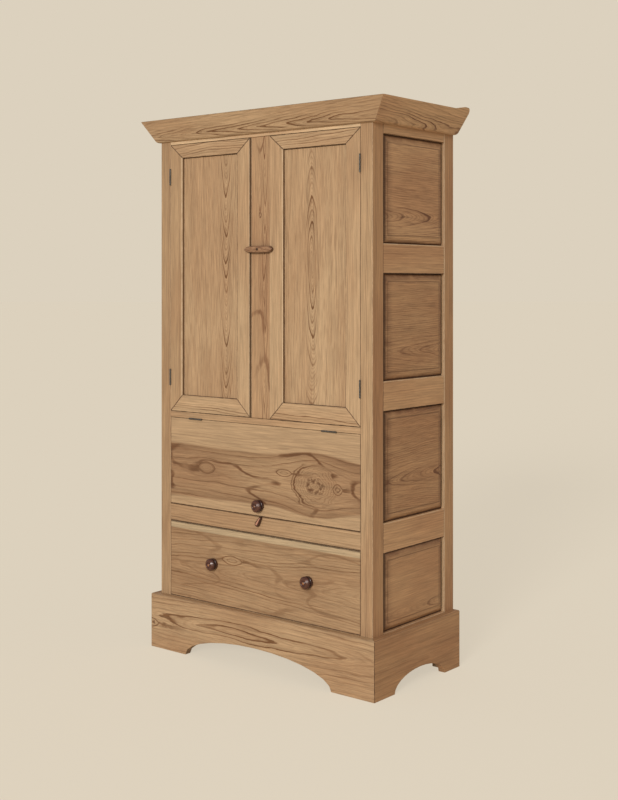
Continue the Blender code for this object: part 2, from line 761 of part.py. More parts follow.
def hinge(name, length, stand, fixed_to, moving, carrier):
    """A butt hinge let into both edges: its pin is along local Z, its leaves reach along Y."""
    near = hinge_leaf_gap / 2
    far = near + hinge_leaf_thickness
    knuckle = (length - (hinge_knuckle_count - 1) * hinge_knuckle_gap) / hinge_knuckle_count
    pitch = knuckle + hinge_knuckle_gap
    clear = hinge_knuckle_radius + hinge_knuckle_gap
    leaves = {}
    for kind, sign, first in (("fixed", -1, 0), ("moving", 1, 1)):
        label = f"{name}_{kind}_leaf"
        xs = tuple(sorted((sign * near, sign * far)))
        plate = box_mesh(label, (xs, (clear, hinge_leaf_width), (-length / 2, length / 2)))
        leaf = bpy.data.objects.new(label, plate)
        plate.materials.append(iron)
        for number in range(first, hinge_knuckle_count, 2):
            middle = -length / 2 + knuckle / 2 + number * pitch
            zs = (middle - knuckle / 2, middle + knuckle / 2)
            neck = box_mesh(f"{label}_neck_{number}", (xs, (near, hinge_leaf_width / 2), zs))
            barrel = rod_mesh(f"{label}_knuckle_{number}", hinge_knuckle_radius, knuckle, hinge_steps)
            barrel.transform(Matrix.Translation((0.0, 0.0, middle)))
            for mesh in (neck, barrel):
                mesh.transform(stand)
                unite(leaf, guide(mesh.name, mesh))
        leaves[kind] = leaf
        leaf.matrix_basis = stand
        if kind == "moving":
            leaf.parent = carrier
            leaf.matrix_basis = Matrix.Translation(-carrier.location) @ stand
        parts.objects.link(leaf)
    pin = rod_mesh(f"{name}_pin", hinge_pin_radius, length, hinge_steps)
    bore = rod_mesh(f"{name}_bore", hinge_bore_radius, length + overrun, hinge_steps)
    for mesh in (pin, bore):
        mesh.transform(stand)
    unite(leaves["fixed"], guide(pin.name, pin))
    cut(leaves["moving"], guide(bore.name, bore))
    cut(fixed_to, hinge_recess(f"{name}_fixed_recess", length, stand, -far - fit_gap, near))
    cut(moving, hinge_recess(f"{name}_moving_recess", length, stand, -near, far + fit_gap))


def turned_piece(name, profile, steps, place, finish, carrier=None):
    """A profile of radius and reach turned about an axis that points to the front."""
    mesh = bpy.data.meshes.new(name)
    mesh.from_pydata([(radius, 0.0, reach) for radius, reach in profile],
                     [(step, step + 1) for step in range(len(profile) - 1)], [])
    mesh.materials.append(finish)
    made = bpy.data.objects.new(name, mesh)
    made.rotation_euler = (math.pi / 2, 0.0, 0.0)
    made.location = place
    if carrier:
        made.parent = carrier
        made.location = Vector(place) - carrier.location
    parts.objects.link(made)
    spin = made.modifiers.new("turned", "SCREW")
    spin.steps = steps
    spin.render_steps = steps
    spin.use_merge_vertices = True
    spin.merge_threshold = fit_gap / 10
    return made


def knob(name, place, holder, carrier):
    """A turned knob whose spigot is glued into a hole in the board that it pulls."""
    profile = [(radius * knob_radius, knob_projection * reach) for radius, reach in knob_profile_shares]
    profile[-1] = (profile[-1][0], fit_gap)
    profile += [(knob_spigot_radius, fit_gap), (knob_spigot_radius, -knob_spigot_length),
                (0.0, -knob_spigot_length)]
    turned_piece(name, profile, knob_steps, place, knob_wood, carrier)
    ys = (place[1] - overrun, place[1] + knob_spigot_length + fit_gap)
    hole = rod_through(f"{name}_hole", knob_spigot_radius + fit_gap, place[0], place[2], ys, knob_steps)
    cut(holder, guide(hole.name, hole))


def flap(floor):
    """The lift-up board, hung from the cupboard floor's edge by two butt hinges."""
    carrier = pivot("flap_hinge", (0.0, hinge_y, flap_joint_z))
    half = inner_half - flap_end_gap
    zs = (catch_top_z + flap_bottom_gap, floor_bottom_z - flap_top_gap)
    leaf = board("flap_board", ((-half, half), (front_y, front_y + flap_thickness), zs), pine_front,
                 carrier)
    knob("flap_knob", (0.0, front_y, zs[0] + flap_knob_rise), leaf, carrier)
    for side, label in ((-1, "left"), (1, "right")):
        stand = Matrix.Translation((side * (inner_half - flap_hinge_inset), hinge_y, flap_joint_z))
        stand = stand @ Matrix.Rotation(math.pi / 2, 4, "Y")
        hinge(f"flap_{label}_hinge", flap_hinge_length, stand, floor, leaf, carrier)


def drawer():
    """A one-board front, rebated for its sides, which hold the back and the bottom board."""
    carrier = pivot("drawer_slide", (0.0, front_y, plinth_height))
    half = inner_half - drawer_end_gap
    low = plinth_height + fit_gap
    front_zs = (low, drawer_top_z - drawer_top_gap)
    side_top = front_zs[1] - drawer_side_drop
    front_ys = (front_y, front_y + drawer_front_thickness)
    front = board("drawer_front", ((-half, half), front_ys, front_zs), pine_front, carrier)
    side_ys = (front_ys[1] - drawer_rebate + fit_gap, back_front_y - drawer_back_gap)
    inside = half - drawer_side_thickness
    bottom_zs = (low + drawer_bottom_rise, low + drawer_bottom_rise + drawer_bottom_thickness)
    groove_half = inside + drawer_groove
    bottom_ys = (front_ys[1] - drawer_groove, side_ys[1])
    bottom_spans = ((-groove_half, groove_half), bottom_ys, bottom_zs)
    groove = block("drawer_groove", grown(bottom_spans, fit_gap))
    for side, label in ((-1, "left"), (1, "right")):
        rebate_xs = across(side, inside - fit_gap, half + overrun)
        rebate_ys = (side_ys[0] - fit_gap, front_ys[1] + overrun)
        rebate_zs = (front_zs[0] - overrun, side_top + fit_gap)
        cut(front, block(f"drawer_{label}_rebate", (rebate_xs, rebate_ys, rebate_zs)))
        member = board(f"drawer_side_{label}", (across(side, inside, half), side_ys, (low, side_top)),
                       pine_inside, carrier)
        cut(member, groove)
        knob(f"drawer_knob_{label}",
             (side * inner_half * drawer_knob_share, front_y, drawer_top_z - drawer_knob_drop), front,
             carrier)
    cut(front, groove)
    back_ys = (side_ys[1] - drawer_side_thickness, side_ys[1])
    back_xs = (fit_gap - inside, inside - fit_gap)
    board("drawer_back", (back_xs, back_ys, (bottom_zs[1] + fit_gap, side_top)), pine_inside, carrier)
    board("drawer_bottom", bottom_spans, pine_inside, carrier)


def turn_button(centre_rail):
    """The lens-shaped wooden button that turns on a screw in the mullion."""
    back = front_y - button_clearance
    centre = Vector((0.0, back - button_thickness / 2, button_z))
    carrier = pivot("door_button_turn", centre)
    points = [(x * button_length / 2, y * button_height / 2) for x, y in button_outline_shares]
    stand = Matrix.Translation(centre) @ Matrix.Rotation(math.pi / 2, 4, "X")
    made = part("door_button", outline_mesh("door_button", points, button_thickness, stand),
                button_wood, carrier)
    ease(made, button_bevel)
    seat = back - button_thickness - fit_gap
    hole = rod_through("door_button_hole", screw_shank_radius + screw_clearance, 0.0, button_z,
                       (seat - overrun, back + overrun), hinge_steps)
    cut(made, guide(hole.name, hole))
    tip = front_y + mullion_setback + screw_bite
    profile = [(radius * screw_head_radius, height * screw_head_height)
               for radius, height in screw_head_shares]
    profile += [(screw_shank_radius, 0.0), (screw_shank_radius, seat - tip), (0.0, seat - tip)]
    turned_piece("door_button_screw", profile, hinge_steps, (0.0, seat, button_z), iron)
    socket = rod_through("mullion_screw_hole", screw_shank_radius + fit_gap, 0.0, button_z,
                         (front_y - overrun, tip + fit_gap), hinge_steps)
    cut(centre_rail, guide(socket.name, socket))


def flap_catch(rail):
    """The small teardrop that turns on its own peg in the rail and can cover the flap's edge."""
    wide = catch_width / 2
    narrow = wide * catch_tip_share
    tilted = Vector((math.sin(catch_tilt), 0.0, math.cos(catch_tilt)))
    centre = Vector((0.0, front_y - fit_gap - catch_thickness / 2, catch_centre_z))
    turning = centre - tilted * (catch_length / 2 - wide)
    carrier = pivot("flap_catch_turn", turning)
    points = []
    for middle, radius, start in ((0.0, wide, math.pi), (catch_length - wide - narrow, narrow, 0.0)):
        for step in range(catch_steps + 1):
            angle = start + math.pi * step / catch_steps
            points.append((radius * math.cos(angle), middle + radius * math.sin(angle)))
    stand = (Matrix.Translation(turning) @ Matrix.Rotation(catch_tilt, 4, "Y")
             @ Matrix.Rotation(math.pi / 2, 4, "X"))
    made = part("flap_catch", outline_mesh("flap_catch", points, catch_thickness, stand), knob_wood,
                carrier)
    ease(made, catch_bevel)
    peg_ys = (turning.y, front_y + catch_pin_length)
    hole_ys = (front_y - overrun, peg_ys[1] + fit_gap)
    peg = rod_through("flap_catch_peg", catch_pin_radius, turning.x, turning.z, peg_ys, hinge_steps)
    hole = rod_through("flap_catch_hole", catch_pin_radius + fit_gap, turning.x, turning.z, hole_ys,
                       hinge_steps)
    unite(made, guide(peg.name, peg))
    cut(rail, guide(hole.name, hole))


frames = {side: side_frame(label, side) for side, label in ((-1, "left"), (1, "right"))}
for side, label in ((-1, "left"), (1, "right")):
    side_panels(label, side)
top = front_rail("top_rail", (door_top_z, post_top_z), frames)
rail_under_flap = front_rail("catch_rail", (drawer_top_z, catch_top_z), frames)
cupboard_floor = inside_boards()
back_panel()
centre = mullion(top, cupboard_floor)
top_board()
cornice()
plinth()
for side, label in ((-1, "left"), (1, "right")):
    door(label, side, frames[side])
flap(cupboard_floor)
drawer()
turn_button(centre)
flap_catch(rail_under_flap)
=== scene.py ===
"""Looks of the pine cupboard: the figure of each board, its edges partly worn and partly painted with
shade and highlights, dark turned wood with painted shade and highlights, and iron.
"""
import json
import math

import bmesh
import bpy
from mathutils import Matrix, Vector


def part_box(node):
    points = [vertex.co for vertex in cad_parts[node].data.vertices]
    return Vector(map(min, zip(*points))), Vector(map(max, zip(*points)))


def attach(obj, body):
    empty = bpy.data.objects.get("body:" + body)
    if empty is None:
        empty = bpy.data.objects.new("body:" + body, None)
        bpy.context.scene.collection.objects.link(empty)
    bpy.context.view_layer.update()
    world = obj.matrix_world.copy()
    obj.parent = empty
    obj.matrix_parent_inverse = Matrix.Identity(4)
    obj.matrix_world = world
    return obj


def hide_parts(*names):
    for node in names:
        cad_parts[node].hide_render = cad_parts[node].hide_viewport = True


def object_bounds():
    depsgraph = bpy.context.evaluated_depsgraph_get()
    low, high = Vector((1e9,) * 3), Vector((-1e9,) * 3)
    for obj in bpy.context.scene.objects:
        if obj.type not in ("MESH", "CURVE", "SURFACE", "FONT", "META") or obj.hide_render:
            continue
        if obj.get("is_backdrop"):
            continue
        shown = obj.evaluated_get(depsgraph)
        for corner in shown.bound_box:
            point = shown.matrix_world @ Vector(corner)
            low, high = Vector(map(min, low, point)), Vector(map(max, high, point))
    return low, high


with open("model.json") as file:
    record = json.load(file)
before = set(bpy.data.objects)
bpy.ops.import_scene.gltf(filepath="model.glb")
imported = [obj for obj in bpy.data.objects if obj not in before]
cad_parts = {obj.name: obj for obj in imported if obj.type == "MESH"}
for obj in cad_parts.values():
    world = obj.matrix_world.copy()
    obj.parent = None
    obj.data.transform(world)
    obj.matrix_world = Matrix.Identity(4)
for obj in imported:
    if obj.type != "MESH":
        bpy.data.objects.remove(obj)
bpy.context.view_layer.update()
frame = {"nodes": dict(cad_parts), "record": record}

nodes = frame["nodes"]
behaviour = frame["record"]["behaviour"]
body_of_node = {name: body for body, names in behaviour["bodies"].items() for name in names}
sides = (("left", -1), ("right", 1))

# All lengths are in metres. How far edges are rounded, and which of them are
arris = 0.0012
fine_arris = 0.0005
shortest_eased_edge = 0.012
sharp_angle = math.radians(28)
flat_angle = math.radians(0.5)
smooth_angle = math.radians(42)
merge_reach = 0.00001


def rgb(red, green, blue):
    """A colour given as it looks on a screen, turned into light."""
    def light(value):
        share = value / 255
        return share / 12.92 if share <= 0.04045 else ((share + 0.055) / 1.055) ** 2.4
    return (light(red), light(green), light(blue), 1.0)


def shades(*colours):
    """Several screen colours as light."""
    return tuple(rgb(*colour) for colour in colours)


# Wood colours: sound wood, its warmer patches, the ring lines, knots. The side copy is darker and warmer,
# painted shade on the faces turned to the side; the lit side copy is paler, painted light on the
# cornice's sides.
front_wood = shades((198, 166, 128), (186, 151, 114), (112, 76, 46), (92, 58, 34))
side_wood = shades((194, 152, 110), (183, 138, 98), (108, 68, 42), (88, 50, 30))
lit_side_wood = shades((210, 170, 128), (200, 156, 116), (116, 74, 46), (88, 50, 30))
inside_wood = shades((205, 172, 134), (190, 153, 114), (148, 108, 72), (110, 72, 44))
flap_wood = shades((184, 151, 114), (170, 134, 99), (104, 68, 41), (92, 58, 34))
mullion_wood = shades((187, 151, 113), (174, 135, 99), (110, 70, 43), (84, 50, 30))
# Edge colours: the brown of dark joints, also used for painted shade along edges; the pale of arrises
# that wear has rubbed, also used for painted highlights on them; and the brown of the painted shadows on
# the side panels' margins.
joint_and_shade_brown = rgb(56, 33, 18)
edge_tint_pale = rgb(216, 186, 150)
painted_shadow_brown = rgb(96, 58, 34)
white = (1.0, 1.0, 1.0, 1.0)


# Helpers for node trees

class Flow:
    """A node's output that is used like a number: each sum on it adds the math node for it."""

    def __init__(self, socket):
        self.socket = socket

    __add__ = __radd__ = lambda self, other: calc("ADD", self, other)
    __mul__ = __rmul__ = lambda self, other: calc("MULTIPLY", self, other)
    __sub__ = lambda self, other: calc("SUBTRACT", self, other)
    __rsub__ = lambda self, other: calc("SUBTRACT", other, self)
    __truediv__ = lambda self, other: calc("DIVIDE", self, other)
    __lt__ = lambda self, other: calc("LESS_THAN", self, other)
    __gt__ = lambda self, other: calc("GREATER_THAN", self, other)
    __abs__ = lambda self: calc("ABSOLUTE", self)


def feed(socket, value):
    """Joins an output to a socket, or sets the socket."""
    if isinstance(value, Flow):
        value = value.socket
    if isinstance(value, bpy.types.NodeSocket):
        socket.id_data.links.new(value, socket)
    else:
        socket.default_value = value


def new_node(kind, inputs, tree=None, **settings):
    """A new node; without a tree it goes where its inputs come from. Inputs go by name or place."""
    if not isinstance(inputs, dict):
        inputs = dict(enumerate(inputs))
    if tree is None:
        tree = next(value.socket.id_data for value in inputs.values() if isinstance(value, Flow))
    node = tree.nodes.new(kind)
    for label, value in settings.items():
        setattr(node, label, value)
    for label, value in inputs.items():
        feed(node.inputs[label], value)
    return node


def calc(operation, *values, clamp=False):
    node = new_node("ShaderNodeMath", values, operation=operation, use_clamp=clamp)
    return Flow(node.outputs[0])


def split(vector):
    return [Flow(part) for part in new_node("ShaderNodeSeparateXYZ", [vector]).outputs]


def joined(*values):
    return Flow(new_node("ShaderNodeCombineXYZ", values).outputs[0])


def soft_step(value, low, high, start=0.0, end=1.0):
    """Eases from start to end while the value goes from low to high."""
    inputs = {"Value": value, "From Min": low, "From Max": high, "To Min": start, "To Max": end}
    node = new_node("ShaderNodeMapRange", inputs, interpolation_type="SMOOTHSTEP")
    return Flow(node.outputs["Result"])


def fall(value, low, high):
    """Eases from one down to nought."""
    return soft_step(value, low, high, 1.0, 0.0)


def noise(vector, detail=2.0, roughness=0.5):
    """Noise of period one in the vector, between nought and one."""
    inputs = {"Vector": vector, "Scale": 1.0, "Detail": detail, "Roughness": roughness}
    return Flow(new_node("ShaderNodeTexNoise", inputs).outputs["Fac"])


def speckle(place, scale, **settings):
    """Noise in a place's three parts, scaled alike or each by its own number."""
    scales = scale if isinstance(scale, tuple) else (scale,) * 3
    return noise(joined(*(part * share for part, share in zip(place, scales))), **settings)


def tint(share, first, second, mode="MIX"):
    """Two colours mixed; the share is of the second."""
    inputs = {0: share, 6: first, 7: second}
    return Flow(new_node("ShaderNodeMix", inputs, data_type="RGBA", blend_type=mode).outputs[2])


def chained(operation, values):
    total = values[0]
    for value in values[1:]:
        total = calc(operation, total, value)
    return total


def largest(*values):
    return chained("MAXIMUM", values)


def attribute(tree, name):
    """A number that the mesh carries on its points or faces."""
    return Flow(new_node("ShaderNodeAttribute", {}, tree, attribute_name=name).outputs["Fac"])


def coordinates(tree, label, order=(0, 1, 2)):
    """The parts of a spot's place (Object) or of the way it faces (Normal), in the order given."""
    parts = split(Flow(new_node("ShaderNodeTexCoord", {}, tree).outputs[label]))
    return [parts[axis] for axis in order]


def new_group(name, inputs, outputs):
    """A shader node group: itself, the flows it is given and the sockets that it puts out. Each
    socket's kind follows its first value: four numbers make a colour, three a vector."""
    tree = bpy.data.node_groups.new(name, "ShaderNodeTree")
    for way, sockets in (("INPUT", inputs), ("OUTPUT", outputs)):
        for label, value in sockets.items():
            kind = {4: "Color", 3: "Vector"}[len(value)] if isinstance(value, tuple) else "Float"
            socket = tree.interface.new_socket(label, in_out=way, socket_type=f"NodeSocket{kind}")
            socket.default_value = value
    given = {socket.name: Flow(socket) for socket in tree.nodes.new("NodeGroupInput").outputs}
    return tree, given, tree.nodes.new("NodeGroupOutput").inputs


def use_group(tree, group, values):
    """Places a group and gives its outputs; a value for the socket Ring brown is named ring_brown."""
    inputs = {label.replace("_", " ").capitalize(): value for label, value in values.items()}
    return new_node("ShaderNodeGroup", inputs, tree, node_tree=group).outputs


def new_finish(name):
    """A new material: itself, its node tree and its shader's inputs."""
    made = bpy.data.materials.new(name)
    made.use_nodes = True
    return made, made.node_tree, made.node_tree.nodes["Principled BSDF"].inputs


def relief(shader, height, distance, strength=0.5):
    """Lets a surface stand up where the height is large."""
    inputs = {"Height": height, "Distance": distance, "Strength": strength}
    feed(shader["Normal"], new_node("ShaderNodeBump", inputs).outputs["Normal"])


# Shared effects. Place is a board's own position: across its grain, into its thickness, along it.

knot_labels = ("one", "two", "three", "four")
least_width = 0.00005


def pine_group():
    """Sawn pine: rings round the tree's heart that flow past the knots, with fibres and patches.

    Heart is the tree's middle, Ring a ring's width. Taper and Lean narrow and tilt the rings along
    the board, which makes flames; Wander bends them, Jag makes them ragged. Lines is their darkness,
    Flame how far from the heart they stay bold, Quiet their strength past it. Veins are thin dark
    strands, Margin the darker wood beside the sapwood, whose limits are (across, slope, softness).
    A knot is (across, along, rings), its reach (across, along, dark core). A knot of one ring has
    its tail back along the board, a knot of two forward; with more it is a big one without a tail.
    """
    inputs = {"Place": (0, 0, 0), "Facing": (0, 1, 0), "Heart": (0, 0, 0), "Ring": 0.008,
              "Taper": 0.0, "Lean": 0.0, "Wander": 0.02, "Jag": 0.5, "Lines": 0.8, "Flame": 10.0,
              "Quiet": 0.45, "Seed": 0.0, "Margin": 0.0, "Veins": 0.0, "Sound": front_wood[0],
              "Warm": front_wood[1], "Ring brown": front_wood[2], "Knot brown": front_wood[3],
              "Sapwood": (10, 0, 0.02), "Sap below": (-10, 0, 0.02),
              "Sap colour": rgb(196, 168, 128)}
    for label in knot_labels:
        inputs.update({f"Knot {label}": (0, 0, 0), f"Reach {label}": (1, 1, 0.1)})
    tree, given, put = new_group("sawn pine", inputs, {"Colour": white, "Roughness": 0.5, "Height": 0.0})
    across, depth, along = place = split(given["Place"])
    heart_across, heart_depth, heart_along = split(given["Heart"])
    seed, jag, flame = given["Seed"], given["Jag"], given["Flame"]
    seed_across, seed_along = seed * 3.7, seed * 1.9

    def field(across_scale, along_scale, shift, **settings):
        """Noise drawn out along the grain."""
        return noise(joined(across * across_scale + seed_across, depth * across_scale + shift,
                            along * along_scale + seed_along), **settings)

    sway = field(16, 3.4, 0.0) - 0.5
    feather = field(70, 20, 2.0, detail=3.0) - 0.5
    crumble = soft_step(speckle(place, 85.0), 0.42, 0.56)

    # Each knot pushes the rings aside
    pushed = across
    knots = []
    for label in knot_labels:
        knot_across, knot_along, knot_rings = split(given[f"Knot {label}"])
        reach_across, reach_along, core = split(given[f"Reach {label}"])
        there = calc("MULTIPLY", knot_rings, 10.0, clamp=True)
        off = across - knot_across
        share_off = off / reach_across
        share_away = (along - knot_along) / reach_along
        squared = share_away * share_away
        far = share_off * share_off + squared
        pushed = pushed + calc("EXPONENT", far * -0.55) * off * (there * -0.82)
        small = knot_rings < 2.5
        round_off = calc("SQRT", far)
        pointed = abs(share_off) + squared
        far = (pointed - round_off) * (small * 0.28 + 0.14) + round_off
        knots.append((small * there, there, far, share_off, share_away, knot_rings, core))

    # The rings of the tree, cut by the board's faces
    bend = (noise(joined(seed, 0.0, along * 3.2), detail=1.0) - 0.5) * given["Wander"]
    out = pushed - heart_across - bend
    up = along - heart_along
    into = up * given["Lean"] + (depth - heart_depth)
    radius = calc("SQRT", out * out + into * into)
    rings = (up * given["Taper"] + radius) / given["Ring"]
    rings = rings + sway * (jag * 4.0) + feather * (jag * 0.8)

    # The knots' own rings, rims, tails and cores
    insides, rims, cores = [], [], []
    for tailed, there, far, share_off, share_away, knot_rings, core in knots:
        far = feather * 0.34 + (sway * 0.50 + far)
        reach = share_away * (knot_rings * 2.0 - 3.0)
        tail = abs(share_off) / (reach * 0.22 + 0.3)
        tail = fall(feather * 3.4 + tail, 0.05, 0.85) * soft_step(reach, 0.85, 1.05)
        tail = tail * soft_step(reach, 1.2, 4.4, 0.90, 0.0)
        inside = fall(far, 0.93, 1.0) * there
        rings = (far * knot_rings + 0.05 - rings) * inside + rings
        rim = fall(abs(far - 0.98), 0.02, tailed * 0.10 + 0.09)
        rim = rim * largest(soft_step(share_away, -0.7, 0.4, 1.0, 0.30), tailed * 0.9)
        outer = fall(abs(far - 1.13), 0.012, 0.06) * soft_step(share_away, -0.75, -0.25, 0.8, 0.0)
        dark = fall(abs(far - core), core * 0.15, core * 0.55 + 0.0001)
        insides.append(inside)
        rims += [tail * tailed, largest(rim, outer * (1.0 - tailed)) * there]
        cores.append(dark * crumble * there)
    inside = largest(*insides)

    # Ring lines: a soft shade, a crisp dark edge and fine lines between; luck varies ring from ring
    share = calc("FRACT", rings)
    dice = new_node("ShaderNodeTexWhiteNoise", {"W": calc("FLOOR", rings) + seed},
                    noise_dimensions="1D")
    luck = Flow(dice.outputs["Value"])
    luck = (0.50 - luck) * inside + luck
    fade = largest(soft_step(field(22, 4.5, 5.0), 0.32, 0.62, 0.22, 1.0), inside)
    soft = calc("POWER", soft_step(share, 0.0, 0.95), 1.6) * fall(share, 0.93, 1.0)
    soft = soft * soft_step(luck, 0.0, 1.0, 0.10, 0.46)
    crisp = soft_step(share, 0.66, 0.88) * fall(share, 0.92, 1.0) * fade
    crisp = crisp * soft_step(luck, 0.1, 0.95, 0.10, 0.70)
    fine = calc("FRACT", rings * 3.0 + 0.37)
    fine = soft_step(fine, 0.35, 0.85) * soft_step(fine, 0.86, 1.0, 0.22, 0.0)
    bold = largest(soft_step(abs(out), flame * 0.4, flame * 1.8, 1.0, given["Quiet"]), inside)
    streak = field(230, 9.0, 9.0, detail=3.0, roughness=0.6)
    fleck = soft_step(field(260, 19.0, 14.0, detail=1.0), 0.50, 0.66)
    fibre = field(800, 22.0, 4.0, detail=3.0, roughness=0.6)
    stripe = field(100, 3.2, 17.0)
    cloud = field(7, 2.2, 7.0)

    def outside(label, sign):
        """The sapwood past the limit named, and the darker heartwood just before it."""
        limit, slope, softness = split(given[label])
        edge = (pushed - (along * slope + limit)) * sign + sway * softness
        past = soft_step(edge, softness * -0.6, softness * 0.6)
        return past, soft_step(feather * 0.02 + edge, -0.042, 0.0)

    (above, near_above), (below, near_below) = outside("Sapwood", 1.0), outside("Sap below", -1.0)
    sap = largest(above, below)
    margin = largest(near_above, near_below) * given["Margin"] * (1.0 - sap)
    course = noise(joined(pushed * 12.0 + seed * 2.3, depth * 12.0, along * 3.6), detail=0.7)
    vein = fall(abs(feather * 0.05 + (course - 0.5)), 0.006, 0.032)
    vein = vein * soft_step(field(18, 6.0, 21.0), 0.34, 0.52, 0.25, 1.0)
    vein = vein * given["Veins"] * calc("SUBTRACT", 1.0, largest(inside, sap), clamp=True)
    line = (fleck * 0.17 + (soft + crisp + fine) * bold) * given["Lines"]
    line = line * soft_step(sap, 0.0, 1.0, 1.0, 0.40)
    line = largest(line, largest(*rims) * 0.95)
    line = calc("MAXIMUM", line, vein, clamp=True)
    core = calc("MULTIPLY", largest(*cores), soft_step(streak, 0.3, 0.6, 0.45, 0.9), clamp=True)

    # Colours, then the shade of the fibres and of end grain
    colour = tint(soft_step(cloud, 0.35, 0.68), given["Sound"], given["Warm"])
    for amount, label in ((sap * 0.85, "Sap colour"), (margin, "Ring brown"), (line, "Ring brown"),
                          (core, "Knot brown")):
        colour = tint(amount, colour, given[label])
    shade = 1.0
    for change, amount in ((streak, 0.82), (fibre, 0.42), (stripe, 0.34)):
        shade = (change - 0.5) * amount + shade
    end_grain = soft_step(abs(split(given["Facing"])[2]), 0.75, 0.95)
    shade = shade * soft_step(end_grain, 0.0, 1.0, 1.0, 0.74)
    feed(put["Colour"], tint(1.0, colour, joined(shade, shade, shade), "MULTIPLY"))
    feed(put["Roughness"], line * -0.10 + (fibre * 0.16 + 0.50))
    feed(put["Height"], line * 0.5 + fibre * 0.6)
    return tree


def edge_group():
    """Dark lines along a board's edges and mitres, partly dark joints and partly painted shade
    between parts, and pale bands on its arrises, partly wear and partly painted highlight.

    Low and High are the board's corners. Dark and Pale give a line's width at the low and at the
    high edge, across and along the grain. A mitre is the line where across and along, times its
    first two numbers, add up to its third. Ridge is how far a raised field lies from the edges; a
    painted shade line is drawn there. Edge shade is painted shade on the faces that turn edgewise.
    The edge tint colours the pale bands; on the side panels it is the brown of a painted shadow.
    """
    inputs = {"Colour": white, "Place": (0, 0, 0), "Facing": (0, 1, 0), "Low": (-1, -1, -1),
              "High": (1, 1, 1), "Dark across": (0, 0, 0), "Dark along": (0, 0, 0),
              "Pale across": (0, 0, 0), "Pale along": (0, 0, 0), "Mitre low": (0, 0, -1),
              "Mitre high": (0, 0, -1), "Mitre dark": 0.0, "Ridge": 0.0, "Edge shade": 0.0,
              "Worn": edge_tint_pale, "Worn share": 0.55}
    tree, given, put = new_group("board edges", inputs, {"Colour": white, "Edge band": 0.0})
    across, depth, along = place = split(given["Place"])
    waver = (speckle(place, 55.0) - 0.5) * 0.0022
    low_across, _, low_along = split(given["Low"])
    high_across, _, high_along = split(given["High"])
    gaps = [gap + waver for gap in (across - low_across, high_across - across,
                                    along - low_along, high_along - along)]
    face_across, face_out, _ = split(given["Facing"])
    outward = soft_step(abs(face_out), 0.55, 0.85)
    edgewise = soft_step(abs(face_across), 0.80, 0.98)

    def band(gap, width):
        """A line of a width along an edge; none where it has no width."""
        return fall(gap, width * 0.30, width + 0.00001) * (width > least_width)

    def bands(label):
        widths = [*split(given[f"{label} across"])[:2], *split(given[f"{label} along"])[:2]]
        return [band(gap, width) for gap, width in zip(gaps, widths)]

    dark = bands("Dark")
    for label in ("Mitre low", "Mitre high"):
        turn_across, turn_along, start = split(given[label])
        dark.append(band(across * turn_across + along * turn_along - start + waver,
                         given["Mitre dark"]))
    ridge = soft_step(abs(chained("MINIMUM", gaps) - given["Ridge"]), 0.0006, 0.0032, 0.50, 0.0)
    ridge = ridge * (given["Ridge"] > least_width)
    # Painted shade: the dark bands, partly dark joints, and the ridge line on faces turned out, and the
    # edge shade on faces turned edgewise.
    dark = largest(largest(*dark) * outward, ridge * outward, edgewise * given["Edge shade"])
    # The pale bands are partly wear and partly painted highlight; with the side panels' tint they are
    # painted shadow.
    pale = largest(*bands("Pale")) * outward
    pale = pale * soft_step(speckle(place, 30.0, detail=3.0), 0.30, 0.62, 0.45, 1.0)
    colour = tint(pale * given["Worn share"], given["Colour"], given["Worn"])
    feed(put["Colour"], tint(dark * 0.90, colour, joint_and_shade_brown))
    feed(put["Edge band"], pale)
    return tree


pine_shader = pine_group()
edge_shader = edge_group()
edge_sockets = ("mitre_dark", "ridge", "edge_shade", "worn", "worn_share")

# How each board's own directions lie in the cupboard: (across, into, along) as X, Y, Z
front_upright = (0, 1, 2)
front_level = (2, 1, 0)
side_upright = (1, 0, 2)
side_level = (2, 0, 1)
flat_level = (1, 2, 0)
flat_deep = (0, 2, 1)


def turned_to(order, vector):
    return tuple(vector[axis] for axis in order)


def toned(colour, tone):
    """A colour made darker, and warmer as it darkens, or lighter."""
    return (*(channel * tone ** power for channel, power in zip(colour, (1.0, 1.22, 1.42))), 1.0)


